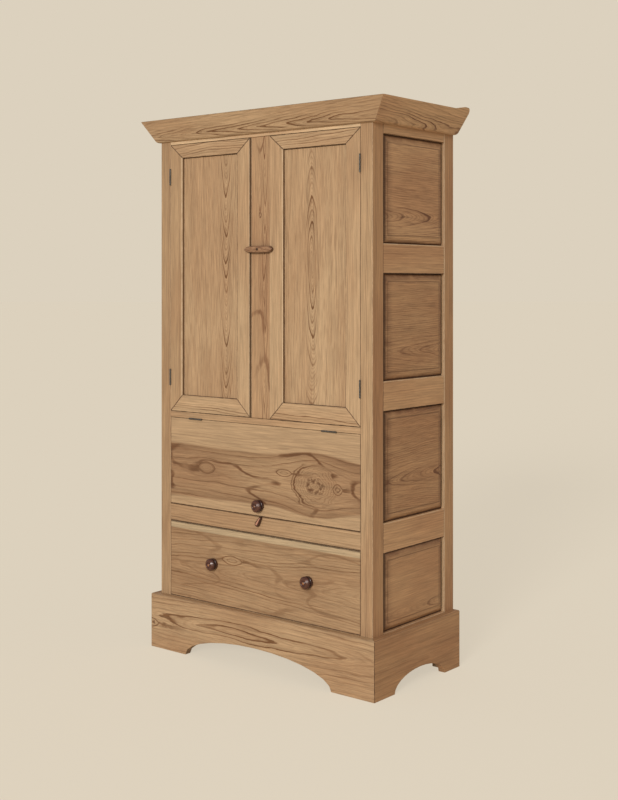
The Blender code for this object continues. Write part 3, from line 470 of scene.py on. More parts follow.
def pine(name, order, corners, wood, heart, knots=(), mitres=(), tone=1.0, dark=(), pale=(),
         **settings):
    """The finish of one board between two corners. Heart is (across, into, along); knots are
    (across, along, rings, reach across, reach along, core). Dark and pale are the widths of the
    lines along its edges: low and high across the grain, low and high along it. The dark lines are
    partly dark joints and partly painted shade, the pale ones partly wear and partly painted
    highlight. Tone is partly the board's own colour and partly painted shade, darker towards the
    left and low down. Other settings are sockets of the two shared effects."""
    made, tree, shader = new_finish(name)
    low, high = (turned_to(order, corner) for corner in corners)
    spot = {"place": joined(*coordinates(tree, "Object", order)),
            "facing": joined(*coordinates(tree, "Normal", order))}
    figure = {**spot, "heart": heart, "sound": toned(wood[0], tone), "warm": toned(wood[1], tone),
              "ring_brown": wood[2], "knot_brown": wood[3]}
    edges = {**spot, "low": low, "high": high, **dict(zip(("mitre_low", "mitre_high"), mitres))}
    for label, widths in (("dark", (*dark, 0, 0, 0, 0)), ("pale", (*pale, 0, 0, 0, 0))):
        edges[f"{label}_across"], edges[f"{label}_along"] = (*widths[:2], 0), (*widths[2:4], 0)
    for label, value in settings.items():
        (edges if label in edge_sockets else figure)[label] = value
    for label, knot in zip(knot_labels, knots):
        figure[f"knot_{label}"], figure[f"reach_{label}"] = knot[:3], knot[3:]
    sawn = use_group(tree, pine_shader, figure)
    edged = use_group(tree, edge_shader, {"colour": sawn["Colour"], **edges})
    feed(shader["Base Color"], edged["Colour"])
    feed(shader["Roughness"], Flow(edged["Edge band"]) * -0.12 + Flow(sawn["Roughness"]))
    feed(shader["Specular IOR Level"], 0.35)
    relief(shader, Flow(sawn["Height"]), 0.0006)
    return made


# Helpers for pieces

def mesh_of(name, shape):
    """Turns a bmesh into a mesh."""
    mesh = bpy.data.meshes.new(name)
    shape.to_mesh(mesh)
    shape.free()
    return mesh


def stand(name, data):
    """A new object in the scene."""
    made = bpy.data.objects.new(name, data)
    bpy.context.scene.collection.objects.link(made)
    return made


def piece(name, shape, finish, body, *stands_for):
    """Turns a bmesh in world places into a finished piece that rides on a body."""
    made = stand(name, mesh_of(name, shape))
    made.data.materials.append(finish)
    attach(made, body)
    if stands_for:
        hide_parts(*stands_for)
    return made


def ease_edges(shape, width, shortest=shortest_eased_edge, steps=2):
    """Rounds the long outer edges of a closed shape."""
    edges = [edge for edge in shape.edges
             if len(edge.link_faces) == 2 and edge.is_convex and edge.calc_length() > shortest
             and edge.calc_face_angle(0.0) > sharp_angle]
    bmesh.ops.bevel(shape, geom=edges, offset=width, offset_type="OFFSET", segments=steps,
                    profile=0.5, affect="EDGES", clamp_overlap=False)


def board(node, order, wood, heart, width=arris, corners=None, shortest=shortest_eased_edge,
          **settings):
    """A CAD board in pine with its long arrises rounded over, in place of the sharp one. Corners
    are those of the part that shows."""
    finish = pine(node, order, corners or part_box(node), wood, heart, **settings)
    shape = bmesh.new()
    shape.from_mesh(nodes[node].data)
    bmesh.ops.remove_doubles(shape, verts=shape.verts, dist=merge_reach)
    bmesh.ops.dissolve_limit(shape, angle_limit=flat_angle, verts=shape.verts, edges=shape.edges)
    ease_edges(shape, width, shortest)
    piece(f"{node}_eased", shape, finish, body_of_node[node], node)


def add_block(shape, corners):
    low, high = (Vector(corner) for corner in corners)
    scale = Matrix.Diagonal((*(high - low), 1.0))
    bmesh.ops.create_cube(shape, size=1.0, matrix=Matrix.Translation((low + high) / 2) @ scale)


def planed(name, corners, finish, width=arris, *stands_for):
    """A planed board of the case, with eased arrises, between two corners."""
    shape = bmesh.new()
    add_block(shape, corners)
    ease_edges(shape, width, shortest=0.001)
    return piece(name, shape, finish, "case", *stands_for)


def second_finish(made, finish, chosen):
    """Puts another finish on the faces whose normals are chosen."""
    made.data.materials.append(finish)
    for polygon in made.data.polygons:
        if chosen(polygon.normal):
            polygon.material_index = 1


def refinish(node, finish):
    """A better material on a CAD node that keeps its shape."""
    for slot in nodes[node].material_slots:
        slot.material = finish


# Camera, light and floor. The camera looks level; its lens is in millimetres.

camera_place = (2.914, -3.535, 1.35)
camera_turn = math.radians(39.1)
lens_length = 56.7
lens_shift = -0.144
sun_strength = 1.89
strip_power = 22.0
ambient_strength = 0.40
paper = rgb(220, 209, 190)
paper_glow = 1.125
paper_glow_share = 0.72
floor_half = 90.0


def lamp(name, kind, strength, place, aim, **settings):
    light = bpy.data.lights.new(name, kind)
    light.energy = strength
    for label, value in settings.items():
        setattr(light, label, value)
    made = stand(name, light)
    made.location = place
    made.rotation_euler = (Vector(aim) - Vector(place)).to_track_quat("-Z", "Y").to_euler()


def seen_share(tree, *rays):
    """One where a ray of the kinds named looks at the surface."""
    path = new_node("ShaderNodeLightPath", {}, tree)
    return largest(*(Flow(path.outputs[f"Is {ray} Ray"]) for ray in rays))


def show(share, plain, seen, output):
    """Shows the share given of the second look, and the plain one for the rest."""
    mix = new_node("ShaderNodeMixShader", [share, plain.outputs[0], seen.outputs[0]])
    feed(output.inputs["Surface"], mix.outputs[0])


def studio():
    scene = bpy.context.scene
    lens = bpy.data.cameras.new("picture_camera")
    lens.lens = lens_length
    lens.sensor_width = 36.0
    lens.shift_y = lens_shift
    lens.clip_end = 100.0
    scene.camera = stand("picture_camera", lens)
    scene.camera.location = camera_place
    scene.camera.rotation_euler = (math.radians(90), 0.0, camera_turn)
    lamp("window_light", "SUN", sun_strength, place=(1.35, -4.25, 2.4), aim=(0.0, 0.0, 0.9),
         angle=math.radians(16))
    lamp("highlight_strip", "AREA", strip_power, place=(2.75, -3.75, 1.9), aim=(0.0, -0.2, 0.6),
         shape="RECTANGLE", size=0.45, size_y=3.6, color=(1.0, 0.90, 0.82))
    scene.world = bpy.data.worlds.new("studio")
    scene.world.use_nodes = True
    tree = scene.world.node_tree
    ambient = tree.nodes["Background"]
    feed(ambient.inputs["Color"], rgb(250, 246, 240))
    feed(ambient.inputs["Strength"], ambient_strength)
    seen = new_node("ShaderNodeBackground", {"Color": paper, "Strength": 1.0}, tree)
    show(seen_share(tree, "Camera", "Transmission"), ambient, seen, tree.nodes["World Output"])

    shape = bmesh.new()
    bmesh.ops.create_grid(shape, x_segments=1, y_segments=1, size=floor_half)
    floor = stand("studio_floor", mesh_of("studio_floor", shape))
    floor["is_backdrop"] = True
    cover, tree, shader = new_finish("studio_paper")
    feed(shader["Base Color"], rgb(238, 226, 204))
    feed(shader["Roughness"], 0.95)
    feed(shader["Specular IOR Level"], 0.0)
    glow = new_node("ShaderNodeEmission", {"Color": paper, "Strength": paper_glow}, tree)
    show(seen_share(tree, "Camera") * paper_glow_share, tree.nodes["Principled BSDF"], glow,
         tree.nodes["Material Output"])
    floor.data.materials.append(cover)
    scene.view_settings.view_transform = "Standard"


studio()


# The case: posts, rails and cleats of the sides

front_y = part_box("catch_rail")[0].y
case_half, back_y, post_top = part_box("side_frame_right")[1]
back_face, back_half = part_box("back")[0].y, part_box("back")[1].x
post_width = 0.049
post_depth = 0.060
inner_half = case_half - post_width
rail_thickness = 0.022
front_thickness = 0.022
lowest_rail_height = 0.098
panel_tongue = 0.008
seat_gap, flap_gap = 0.0003, 0.002
cleat_setback, cleat_thickness, cleat_height = 0.001, 0.018, 0.024
stop_thickness, stop_depth, stop_height = 0.008, 0.038, 0.050
openings = []
for number in range(1, 5):
    low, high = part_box(f"side_panel_right_{number}")
    openings.append((low.z + panel_tongue, high.z - panel_tongue))
rail_spans = [(openings[0][0] - lowest_rail_height, openings[0][0]),
              *((lower[1], upper[0]) for lower, upper in zip(openings, openings[1:])),
              (openings[-1][1], post_top)]
floors = ("case_bottom", "flap_floor", "cupboard_floor", "lower_shelf", "upper_shelf")


def upright(name, outline, finish):
    """A post of the case with the outline of its section in X and Y."""
    shape = bmesh.new()
    foot = shape.faces.new([shape.verts.new((x, y, 0.0)) for x, y in outline])
    grown = bmesh.ops.extrude_face_region(shape, geom=[foot])
    top = [item for item in grown["geom"] if isinstance(item, bmesh.types.BMVert)]
    bmesh.ops.translate(shape, verts=top, vec=(0.0, 0.0, post_top))
    bmesh.ops.recalc_face_normals(shape, faces=shape.faces)
    ease_edges(shape, arris, shortest=0.003)
    return piece(name, shape, finish, "case")


def side_frame(label, side):
    """The posts, rails, cleats and flap stop of one side."""
    outer, inner = side * case_half, side * inner_half
    left, right = sorted((outer, inner))
    straight = dict(ring=0.007, wander=0.03, jag=0.4, lines=0.5)
    span = ((left, front_y, 0.0), (right, front_y + post_depth, post_top))
    # Painted shade: the post's side faces take the darker side copy of the wood, and the left post is
    # toned darker than the right; the pale line on its arris is partly painted highlight.
    face = pine(f"front_post_{label}", front_upright, span, front_wood,
                (side * 0.62, front_y + 0.05, 0.9), ring=0.0075, wander=0.03, jag=0.35, lines=0.55,
                tone=0.84 if side > 0 else 0.765, seed=3 + side, dark=(0.0012, 0.0012),
                pale=(0, 0.0025))
    edge = pine(f"front_post_side_{label}", side_upright, span, side_wood,
                (front_y - 0.06, outer - side * 0.03, 0.9), tone=0.85, seed=13 + side,
                dark=(0, 0.0015), pale=(0.003, 0), **straight)
    post = planed(f"front_post_{label}", span, face, arris, f"side_frame_{label}")
    second_finish(post, edge, lambda normal: abs(normal.x) > 0.7)
    outline = [(outer, back_y - post_depth), (outer, back_y), (side * back_half, back_y),
               (side * back_half, back_face), (inner, back_face), (inner, back_y - post_depth)]
    span = ((left, back_y - post_depth, 0.0), (right, back_y, post_top))
    # The pale line along the rear post's front edge is a painted highlight.
    finish = pine(f"rear_post_{label}", side_upright, span, side_wood,
                  (back_y + 0.07, outer - side * 0.03, 0.9), tone=0.88, seed=23 + side,
                  pale=(0.0070, 0), worn_share=0.95, **straight)
    # Painted light: the rear post's faces turned to the front take the paler front copy of the wood.
    second_finish(upright(f"rear_post_{label}", outline, finish), face, lambda normal: normal.y < -0.7)

    rail_xs = sorted((outer, outer - side * rail_thickness))
    for number, zs in enumerate(rail_spans, 1):
        name = f"side_rail_{label}_{number}"
        span = tuple(zip(rail_xs, (front_y + post_depth, back_y - post_depth), zs))
        # The pale line along each rail's upper arris is partly wear and partly painted highlight.
        finish = pine(name, side_level, span, side_wood,
                      (zs[0] - 0.05 - 0.02 * number, outer - side * 0.03, 0.0), jag=0.4, lines=0.4,
                      tone=1.02, seed=33 + side + number, dark=(0.0015, 0, 0.0015, 0.0015),
                      pale=(0, 0.0045), worn_share=0.8)
        planed(name, span, finish, fine_arris)
    inner_wood = pine(f"cleat_{label}", flat_deep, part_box(f"side_frame_{label}"), inside_wood,
                      (inner, 0.4, 0.0), ring=0.006, seed=50 + side)

    def strip(name, thickness, ys, zs, width):
        """A strip of wood against the post's inner face."""
        xs = sorted((inner, inner - side * thickness))
        planed(name, tuple(zip(xs, ys, zs)), inner_wood, width)

    for seat in floors:
        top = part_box(seat)[0].z - seat_gap
        strip(f"{seat}_cleat_{label}", cleat_thickness,
              (front_y + front_thickness + cleat_setback, back_face - seat_gap),
              (top - cleat_height, top), arris)
    middle = (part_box("flap_board")[0].z - flap_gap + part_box("cupboard_floor")[0].z) / 2
    strip(f"flap_stop_{label}", stop_thickness,
          (front_y + front_thickness + seat_gap, front_y + stop_depth),
          (middle - stop_height / 2, middle + stop_height / 2), fine_arris)


for label, side in sides:
    side_frame(label, side)


def side_panels():
    """Raised panels, their grain level; the bold part of each figure lies low in its panel."""
    figures = {1: dict(rise=0.055, start=0.0, taper=-0.05, jag=0.4, quiet=0.3, lines=0.6, tone=0.90),
               2: dict(rise=0.145, start=-0.06, taper=-0.07, tone=0.87),
               3: dict(rise=0.105, start=-0.07, taper=-0.06, tone=0.87),
               4: dict(rise=0.100, start=0.01, ring=0.0070, lean=0.09, jag=0.5, tone=0.99)}
    # Painted shadow: the dark and tinted bands along the panels' margins, widest at the front and the top
    # where posts and rails stand proud, and a painted shade line at the raised field's edge.
    shared = dict(ring=0.0065, jag=0.6, lines=1.25, flame=0.022, quiet=0.4,
                  dark=(0.009, 0.009, 0.026, 0.012), pale=(0.016, 0.030, 0.062, 0.034),
                  worn=painted_shadow_brown, worn_share=0.62, ridge=0.028, width=fine_arris, shortest=0.01)
    inset = Vector((0.0, panel_tongue, panel_tongue))
    for label, side in sides:
        for number, figure in figures.items():
            node = f"side_panel_{label}_{number}"
            low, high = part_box(node)
            settings = {**shared, **figure}
            heart = (low.z + settings.pop("rise"), side * 0.455, settings.pop("start"))
            board(node, side_level, side_wood, heart, corners=(low + inset, high - inset),
                  seed=60 + number + side, **settings)


side_panels()


# The other boards of the case, with the cornice and the plinth

def case_boards():
    def front(node, heart, **settings):
        board(node, front_level, front_wood, heart, **settings)

    # The dark lines along these boards' edges are partly dark joints and partly painted shade between
    # parts.
    front("top_rail", (1.80, front_y + 0.02, 0.0), lines=0.4, tone=1.16, seed=71)
    front("catch_rail", (0.43, front_y + 0.02, -0.2), ring=0.010, jag=0.35, lines=0.45, tone=0.835,
          seed=72, dark=(0.0042, 0.0022))
    front("cupboard_floor", (0.83, front_y + 0.05, 0.0), lines=0.45, tone=0.92, seed=73,
          dark=(0.0008, 0.0012))
    board("mullion", front_upright, mullion_wood, (0.020, front_y + 0.012, 1.4), ring=0.0058,
          taper=-0.060, jag=0.6, lines=0.95, flame=0.015, quiet=0.4, tone=0.96, seed=74, veins=0.70,
          dark=(0.0042, 0), pale=(0.006, 0), knots=[(-0.001, 1.595, 2, 0.006, 0.012, 0.75)])
    front("cornice_front", (1.903, front_y - 0.014, 0.1), ring=0.0105, taper=-0.10, wander=0.012,
          jag=0.8, lines=1.3, flame=0.015, quiet=0.26, tone=0.89, seed=75, dark=(0.004, 0.0015))
    front("plinth_front", (0.122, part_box("plinth_front")[0].y + 0.001, -0.06), ring=0.0150,
          lean=0.075, lines=0.85, flame=0.045, quiet=0.6, tone=0.85, seed=77,
          dark=(0, 0.003, 0.0015, 0.0015), knots=[(0.091, -0.536, 2, 0.018, 0.060, 0.5)])
    # The cornice's sides take the paler lit copy of the side wood: painted light.
    cornice = dict(wood=lit_side_wood, taper=0.08, jag=0.8, lines=1.0, tone=0.98,
                   dark=(0.003, 0.001))
    plinth = dict(wood=side_wood, taper=0.02, jag=0.3, lines=0.45, tone=0.785,
                  dark=(0.001, 0.0032, 0.0024, 0.001))
    for label, side in sides:
        for node, seed, settings in ((f"cornice_{label}", 80, cornice), (f"plinth_{label}", 84, plinth)):
            low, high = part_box(node)
            heart = ((low.z + high.z) / 2 - 0.02, side * (case_half - 0.01), 0.05)
            board(node, side_level, heart=heart, ring=0.009, flame=0.02, seed=seed + side, **settings)
    inner_boards = ("case_bottom", "flap_floor", "lower_shelf", "upper_shelf", "top_board")
    for seed, node in enumerate(inner_boards, 90):
        board(node, flat_level, inside_wood, (0.02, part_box(node)[0].z - 0.06, 0.1), ring=0.007,
              taper=0.02, jag=0.6, lines=0.7, seed=seed)


case_boards()

# The back's boards lie a nail head's height inside its outer face.
plank_count = 7
plank_width = 2 * back_half / plank_count
plank_gap = 0.0002
plank_arris = 0.0022
nail_stand = 0.0006


def back_boards():
    """The back's upright boards, each from another plank, with eased joints."""
    low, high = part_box("back")
    shape = bmesh.new()
    for number in range(plank_count):
        start = low.x + plank_width * number
        add_block(shape, ((start + plank_gap, low.y, low.z),
                          (start + plank_width - plank_gap, high.y - nail_stand, high.z)))
    ease_edges(shape, plank_arris, shortest=0.5, steps=1)
    marks = shape.faces.layers.float.new("plank")
    for face in shape.faces:
        face[marks] = int((face.calc_center_median().x - low.x) / plank_width)
    finish = pine("back", front_upright, (low, high), inside_wood, (0.1, low.y - 0.05, 1.0),
                  taper=0.02, wander=0.05, jag=0.7, lines=0.7, seed=95)
    tree = finish.node_tree
    sawn = next(node for node in tree.nodes if node.type == "GROUP" and node.node_tree == pine_shader)
    feed(sawn.inputs["Seed"], attribute(tree, "plank"))
    piece("back_boards", shape, finish, "case", "back")


back_boards()


# Doors

stile_width = 0.060
door_top_height, door_bottom_height = 0.050, 0.060
door_parts = ("hanging_stile", "free_stile", "top_rail", "bottom_rail", "panel")


def mitre(corner, inner, keep):
    """The mitre line through two (across, along) spots, positive on the board's side."""
    run = Vector(inner) - Vector(corner)
    normal = Vector((-run.y, run.x)).normalized()
    start = normal.dot(Vector(corner))
    if normal.dot(Vector(keep)) < start:
        normal, start = -normal, -start
    return (normal.x, normal.y, start)


def door(label, side, first_seed):
    """A door's mitred frame and its panel."""
    boxes = {kind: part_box(f"door_{label}_{kind}") for kind in door_parts}
    stiles = [boxes[kind] for kind in door_parts[:2]]
    left, right = min(low.x for low, high in stiles), max(high.x for low, high in stiles)
    bottom, top = stiles[0][0].z, stiles[0][1].z
    inner_left, inner_right = left + stile_width, right - stile_width
    inner_bottom, inner_top = bottom + door_bottom_height, top - door_top_height
    middle_x, middle_z = (left + right) / 2, (bottom + top) / 2

    def part(kind, order, heart, **settings):
        board(f"door_{label}_{kind}", order, front_wood, heart, fine_arris,
              seed=first_seed + door_parts.index(kind), **settings)

    # Painted shade: the dark lines beside the stiles, the edge shade on the stiles' edge faces and the
    # darker tone of the left hanging stile; the pale lines on the arrises are partly wear and partly
    # painted highlight.
    lines = {("left", "free_stile"): dict(dark=(0.0022, 0.003), pale=(0, 0.006)),
             ("left", "hanging_stile"): dict(pale=(0, 0.0085)),
             ("right", "free_stile"): dict(pale=(0, 0.006)),
             ("right", "hanging_stile"): dict(dark=(0.0022, 0))}
    for kind, heart_x in (("hanging_stile", 0.60), ("free_stile", 0.30)):
        outer, inner = (left, inner_left) if boxes[kind][0].x < middle_x else (right, inner_right)
        keep = ((outer + inner) / 2, middle_z)
        cuts = [mitre((outer, bottom), (inner, inner_bottom), keep),
                mitre((outer, top), (inner, inner_top), keep)]
        part(kind, front_upright, (side * heart_x, front_y + 0.03, 1.2), ring=0.0075, jag=0.30,
             lines=0.45, tone=0.82 if (label, kind) == ("left", "hanging_stile") else 0.95,
             mitres=cuts, mitre_dark=0.0024, edge_shade=0.62, worn_share=0.85, **lines[label, kind])
    for kind, edge, inner, rise in (("top_rail", top, inner_top, 0.02),
                                    ("bottom_rail", bottom, inner_bottom, -0.03)):
        keep = ((edge + inner) / 2, middle_x)
        cuts = [mitre((edge, left), (inner, inner_left), keep),
                mitre((edge, right), (inner, inner_right), keep)]
        part(kind, front_level, (edge + rise, front_y + 0.02, side * 0.2), ring=0.0085, taper=0.03,
             wander=0.03, jag=0.7, tone=0.95, mitres=cuts, mitre_dark=0.0024,
             dark=(0.0014, 0.0014), edge_shade=0.45)
    figure = {"left": dict(heart=(-0.168, front_y + 0.028, 1.42), ring=0.0050, taper=-0.100,
                           wander=0.015, jag=0.55, lines=1.15),
              "right": dict(heart=(0.229, front_y + 0.013, 1.38), ring=0.0058, lean=0.12, lines=1.2)}
    part("panel", front_upright, corners=((inner_left, 0, inner_bottom), (inner_right, 0, inner_top)),
         tone=0.94, flame=0.020, quiet=0.40, dark=(0.0015, 0.0012, 0.0015, 0.0030), **figure[label])


door("left", -1, 100)
door("right", 1, 110)


# The flap and the drawer

def flap_and_drawer():
    # The dark lines along the flap's and the drawer's edges and the drawer's dark tone are partly painted
    # shade.
    board("flap_board", front_level, flap_wood, (0.672, front_y + 0.050, 0.0), ring=0.0115,
          taper=-0.012, jag=0.55, lines=0.70, tone=0.87, seed=126,
          dark=(0.0025, 0.001, 0.0018, 0.0010), margin=0.36, veins=0.95,
          sapwood=(0.760, -0.008, 0.010), sap_below=(0.583, 0.030, 0.010),
          sap_colour=rgb(184, 153, 117),
          knots=[(0.669, 0.250, 9, 0.073, 0.094, 0.30), (0.686, -0.255, 1, 0.021, 0.042, 0.0),
                 (0.667, 0.345, 2, 0.018, 0.021, 0.4), (0.702, 0.110, 2, 0.012, 0.036, 0.0)])
    board("drawer_front", front_level, front_wood, (0.322, front_y + 0.030, 0.05), ring=0.0095,
          taper=-0.055, jag=0.6, lines=0.85, flame=0.08, quiet=0.75, tone=0.73, seed=121,
          dark=(0.0046, 0.004, 0.0022, 0.0010), margin=0.22, veins=0.5,
          sapwood=(0.4520, 0.0, 0.003), sap_colour=rgb(186, 163, 129),
          knots=[(0.366, -0.13, 2, 0.016, 0.050, 0.0)])
    for seed, (part, order) in enumerate((("side_left", side_level), ("side_right", side_level),
                                          ("back", front_level), ("bottom", flat_level)), 122):
        across, into, _ = turned_to(order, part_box(f"drawer_{part}")[0])
        board(f"drawer_{part}", order, inside_wood, (across - 0.04, into - 0.03, 0.0), fine_arris,
              ring=0.006, taper=0.02, lines=0.6, seed=seed)


flap_and_drawer()


# Dark turned wood, the button and the iron

def small_wood(name, colours, gloss, stretch, coat):
    """Stained hardwood under polish; tone runs from the dark shade at nought to the pale one at one. The
    tone that a piece carries paints shade at its rims and necks and a highlight on its crown.
    """
    dark, deep, base, pale = shades(*colours)
    made, tree, shader = new_finish(name)
    grain = speckle(coordinates(tree, "Object"), stretch, detail=4.0, roughness=0.6)
    tone = attribute(tree, "tone")
    colour = tint(soft_step(grain, 0.35, 0.66), deep, base)
    colour = tint(soft_step(tone, 0.0, 0.5, 0.9, 0.0), colour, dark)
    colour = tint(soft_step(tone, 0.5, 1.0, 0.0, 0.9), colour, pale)
    feed(shader["Base Color"], colour)
    feed(shader["Roughness"], soft_step(grain, 0.2, 0.8, gloss, gloss + 0.14))
    feed(shader["Coat Weight"], coat)
    feed(shader["Coat Roughness"], 0.16)
    feed(shader["Coat Tint"], rgb(255, 232, 214))
    relief(shader, grain, 0.0003, 0.25)
    return made


def iron_finish(name, *colours):
    """Old dull iron with brown bloom; its colours are bright, dull and rusty."""
    bright, dull, rust = shades(*colours)
    made, tree, shader = new_finish(name)
    bloom = speckle(coordinates(tree, "Object"), 240.0, detail=4.0, roughness=0.65)
    colour = tint(soft_step(bloom, 0.36, 0.60), bright, dull)
    feed(shader["Base Color"], tint(soft_step(bloom, 0.60, 0.74), colour, rust))
    feed(shader["Roughness"], soft_step(bloom, 0.3, 0.7, 0.40, 0.66))
    feed(shader["Metallic"], soft_step(bloom, 0.50, 0.72, 0.55, 0.15))
    relief(shader, bloom, 0.0004)
    return made


polished = small_wood("knob_wood", ((30, 12, 11), (52, 22, 18), (78, 36, 28), (160, 112, 74)),
                      gloss=0.24, stretch=(260, 90, 260), coat=0.5)
catch_wood = small_wood("catch_wood", ((50, 26, 16), (84, 46, 30), (112, 66, 46), (196, 150, 126)),
                        gloss=0.34, stretch=(160, 160, 60), coat=0.4)
button_wood = small_wood("button_wood", ((70, 44, 28), (116, 80, 54), (170, 132, 98), (202, 168, 134)),
                         gloss=0.42, stretch=(42, 300, 300), coat=0.15)
old_iron = iron_finish("old_iron", (116, 110, 102), (70, 65, 58), (88, 66, 50))
brown_iron = iron_finish("brown_iron", (84, 60, 44), (58, 38, 28), (96, 62, 42))
leaves = [node for node in nodes if node.endswith("_leaf")]
for node in leaves:
    refinish(node, old_iron)
refinish("door_button_screw", brown_iron)


def smoothed(points, steps, closed=False):
    """A soft curve through the points, with the steps given from each to the next."""
    count = len(points)
    curve = []
    for number in range(count if closed else count - 1):
        near = [points[(number + shift) % count if closed else min(max(number + shift, 0), count - 1)]
                for shift in (-1, 0, 1, 2)]
        for step in range(steps):
            share = step / steps
            curve.append(tuple((2 * b + (c - a) * share + (2 * a - 5 * b + 4 * c - d) * share ** 2
                                + (3 * b - a - 3 * c + d) * share ** 3) / 2
                               for a, b, c, d in zip(*near)))
    return curve if closed else [*curve, points[-1]]


def loft(name, rings, finish, body, *stands_for, closed=False):
    """A smooth skin over rings of (points, tone); a closed one joins its last ring to its first."""
    shape = bmesh.new()
    tones = shape.verts.layers.float.new("tone")
    loops = []
    for points, tone in rings:
        loop = [shape.verts.new(spot) for spot in points]
        for vertex in loop:
            vertex[tones] = tone
        loops.append(loop)
    for first, second in zip(loops, loops[1:] + loops[:1] if closed else loops[1:]):
        for here in range(len(first)):
            after = (here + 1) % len(first)
            shape.faces.new((first[here], first[after], second[after], second[here]))
    if not closed:
        shape.faces.new(loops[0])
        shape.faces.new(loops[-1])
    bmesh.ops.recalc_face_normals(shape, faces=shape.faces)
    for face in shape.faces:
        face.smooth = True
    made = piece(name, shape, finish, body, *stands_for)
    made.data.set_sharp_from_angle(angle=smooth_angle)


# Each knob's profile from the tip to the base: its share of the radius, of the reach, and its tone; the
# tone paints a pale highlight on the boss and shade at the neck and the base.
knob_profile = (
    (0.001, 0.985, 1.0), (0.10, 0.980, 1.0), (0.19, 0.955, 0.8), (0.27, 0.915, 0.40),
    (0.40, 0.912, 0.46), (0.50, 0.945, 0.55), (0.58, 0.950, 0.60), (0.66, 0.915, 0.62),
    (0.80, 0.838, 0.60), (0.92, 0.768, 0.5), (0.985, 0.715, 0.45), (1.0, 0.65, 0.40),
    (0.975, 0.585, 0.35), (0.90, 0.54, 0.3), (0.80, 0.50, 0.2), (0.75, 0.455, 0.1),
    (0.745, 0.41, 0.1), (0.79, 0.37, 0.1), (0.90, 0.345, 0.15), (0.955, 0.31, 0.2),
    (0.97, 0.24, 0.25), (0.97, 0.14, 0.25), (0.96, 0.06, 0.25), (0.93, 0.012, 0.2))
spigot_radius = 0.0068
round_steps = 64
# The largest shares of a knob's reach and radius, which keep it inside its solid's box
most_reach, most_radius = 0.995, 0.998


def circle(centre, radius, y):
    turns = [math.tau * step / round_steps for step in range(round_steps)]
    return [(centre.x + radius * math.cos(turn), y, centre.z + radius * math.sin(turn)) for turn in turns]


def knobs():
    for node, palest in (("flap_knob", 0.72), ("drawer_knob_left", 1.0), ("drawer_knob_right", 1.0)):
        low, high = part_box(node)
        middle = (low + high) / 2
        radius = (high.x - low.x) / 2
        rings = []
        for share, height, tone in smoothed(knob_profile, 4):
            y = front_y + (low.y - front_y) * min(height, most_reach)
            rings.append((circle(middle, radius * min(share, most_radius), y), min(tone, palest)))
        seat = rings[-1][0][0][1]
        rings += [(circle(middle, spigot_radius, y), 0.1) for y in (seat, high.y)]
        loft(f"{node}_turned", rings, polished, body_of_node[node], node)


knobs()

# The button's outline as shares of its half length and half height
button_outline = ((-1.0, 0.0), (-0.92, 0.42), (-0.76, 0.78), (-0.45, 0.96), (0.0, 1.0), (0.45, 0.98),
                  (0.82, 0.88), (0.92, 0.60), (1.0, 0.05), (0.94, -0.50), (0.82, -0.86),
                  (0.45, -0.97), (0.0, -1.0), (-0.45, -0.96), (-0.76, -0.80), (-0.92, -0.45))
button_hole_radius = 0.0026
button_rounding = 0.0058
button_crown, crown_inset = 0.0006, 0.0084
# How far the outline lies inside its solid's box, along and up, and its back's easing, in and out
button_spare = (0.0004, 0.0006)
button_back_easing = (0.0012, 0.0014)
# A quarter round from edge to face, as shares of its radius: (inward, outward)
quarter_round = [(1 - math.cos(math.radians(angle)), 1 - math.sin(math.radians(angle)))
                 for angle in range(0, 91, 15)]


def button():
    """The turn button: rounded edges, a gently crowned face and the hole for its screw."""
    low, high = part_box("door_button")
    middle = (low + high) / 2
    half_length = (high.x - low.x) / 2 - button_spare[0]
    half_height = (high.z - low.z) / 2 - button_spare[1]
    outline = [(max(min(x, 1.0), -1.0), max(min(z, 1.0), -1.0))
               for x, z in smoothed(button_outline, 5, closed=True)]

    def ring(inset, y, tone):
        return ([(middle.x + x * (half_length - inset), y, middle.z + z * (half_height - inset))
                 for x, z in outline], tone)

    def hole(y, tone):
        spots = []
        for x, z in outline:
            share = button_hole_radius / math.hypot(x * half_length, z * half_height)
            spots.append((middle.x + share * x * half_length, y, middle.z + share * z * half_height))
        return (spots, tone)

    eased_in, eased_out = button_back_easing
    # The tone paints shade on the button's back and sides, easing to its plain colour on the face.
    rings = [hole(high.y, 0.0), ring(eased_in, high.y, 0.0), ring(0.0, high.y - eased_out, 0.0)]
    for inward, outward in quarter_round:
        rings.append(ring(button_rounding * inward, low.y + button_crown + button_rounding * outward,
                          0.15 + 0.35 * inward))
    rings += [ring(crown_inset, low.y + button_crown / 3, 0.55), hole(low.y, 0.42)]
    loft("door_button_shaped", rings, button_wood, "door_button", "door_button", closed=True)


button()

catch_lean = math.radians(34)
catch_length = 0.02675
catch_root_radius, catch_tip_radius, catch_peg_radius = 0.0094, 0.0047, 0.0034
catch_rounding = 0.0042
catch_gap = 0.0004
catch_back_easing = 0.001
# How far the drop's back, face and crown are drawn in, as shares of its radii
back_share, face_share, crown_share = 0.09, 0.62, 0.78


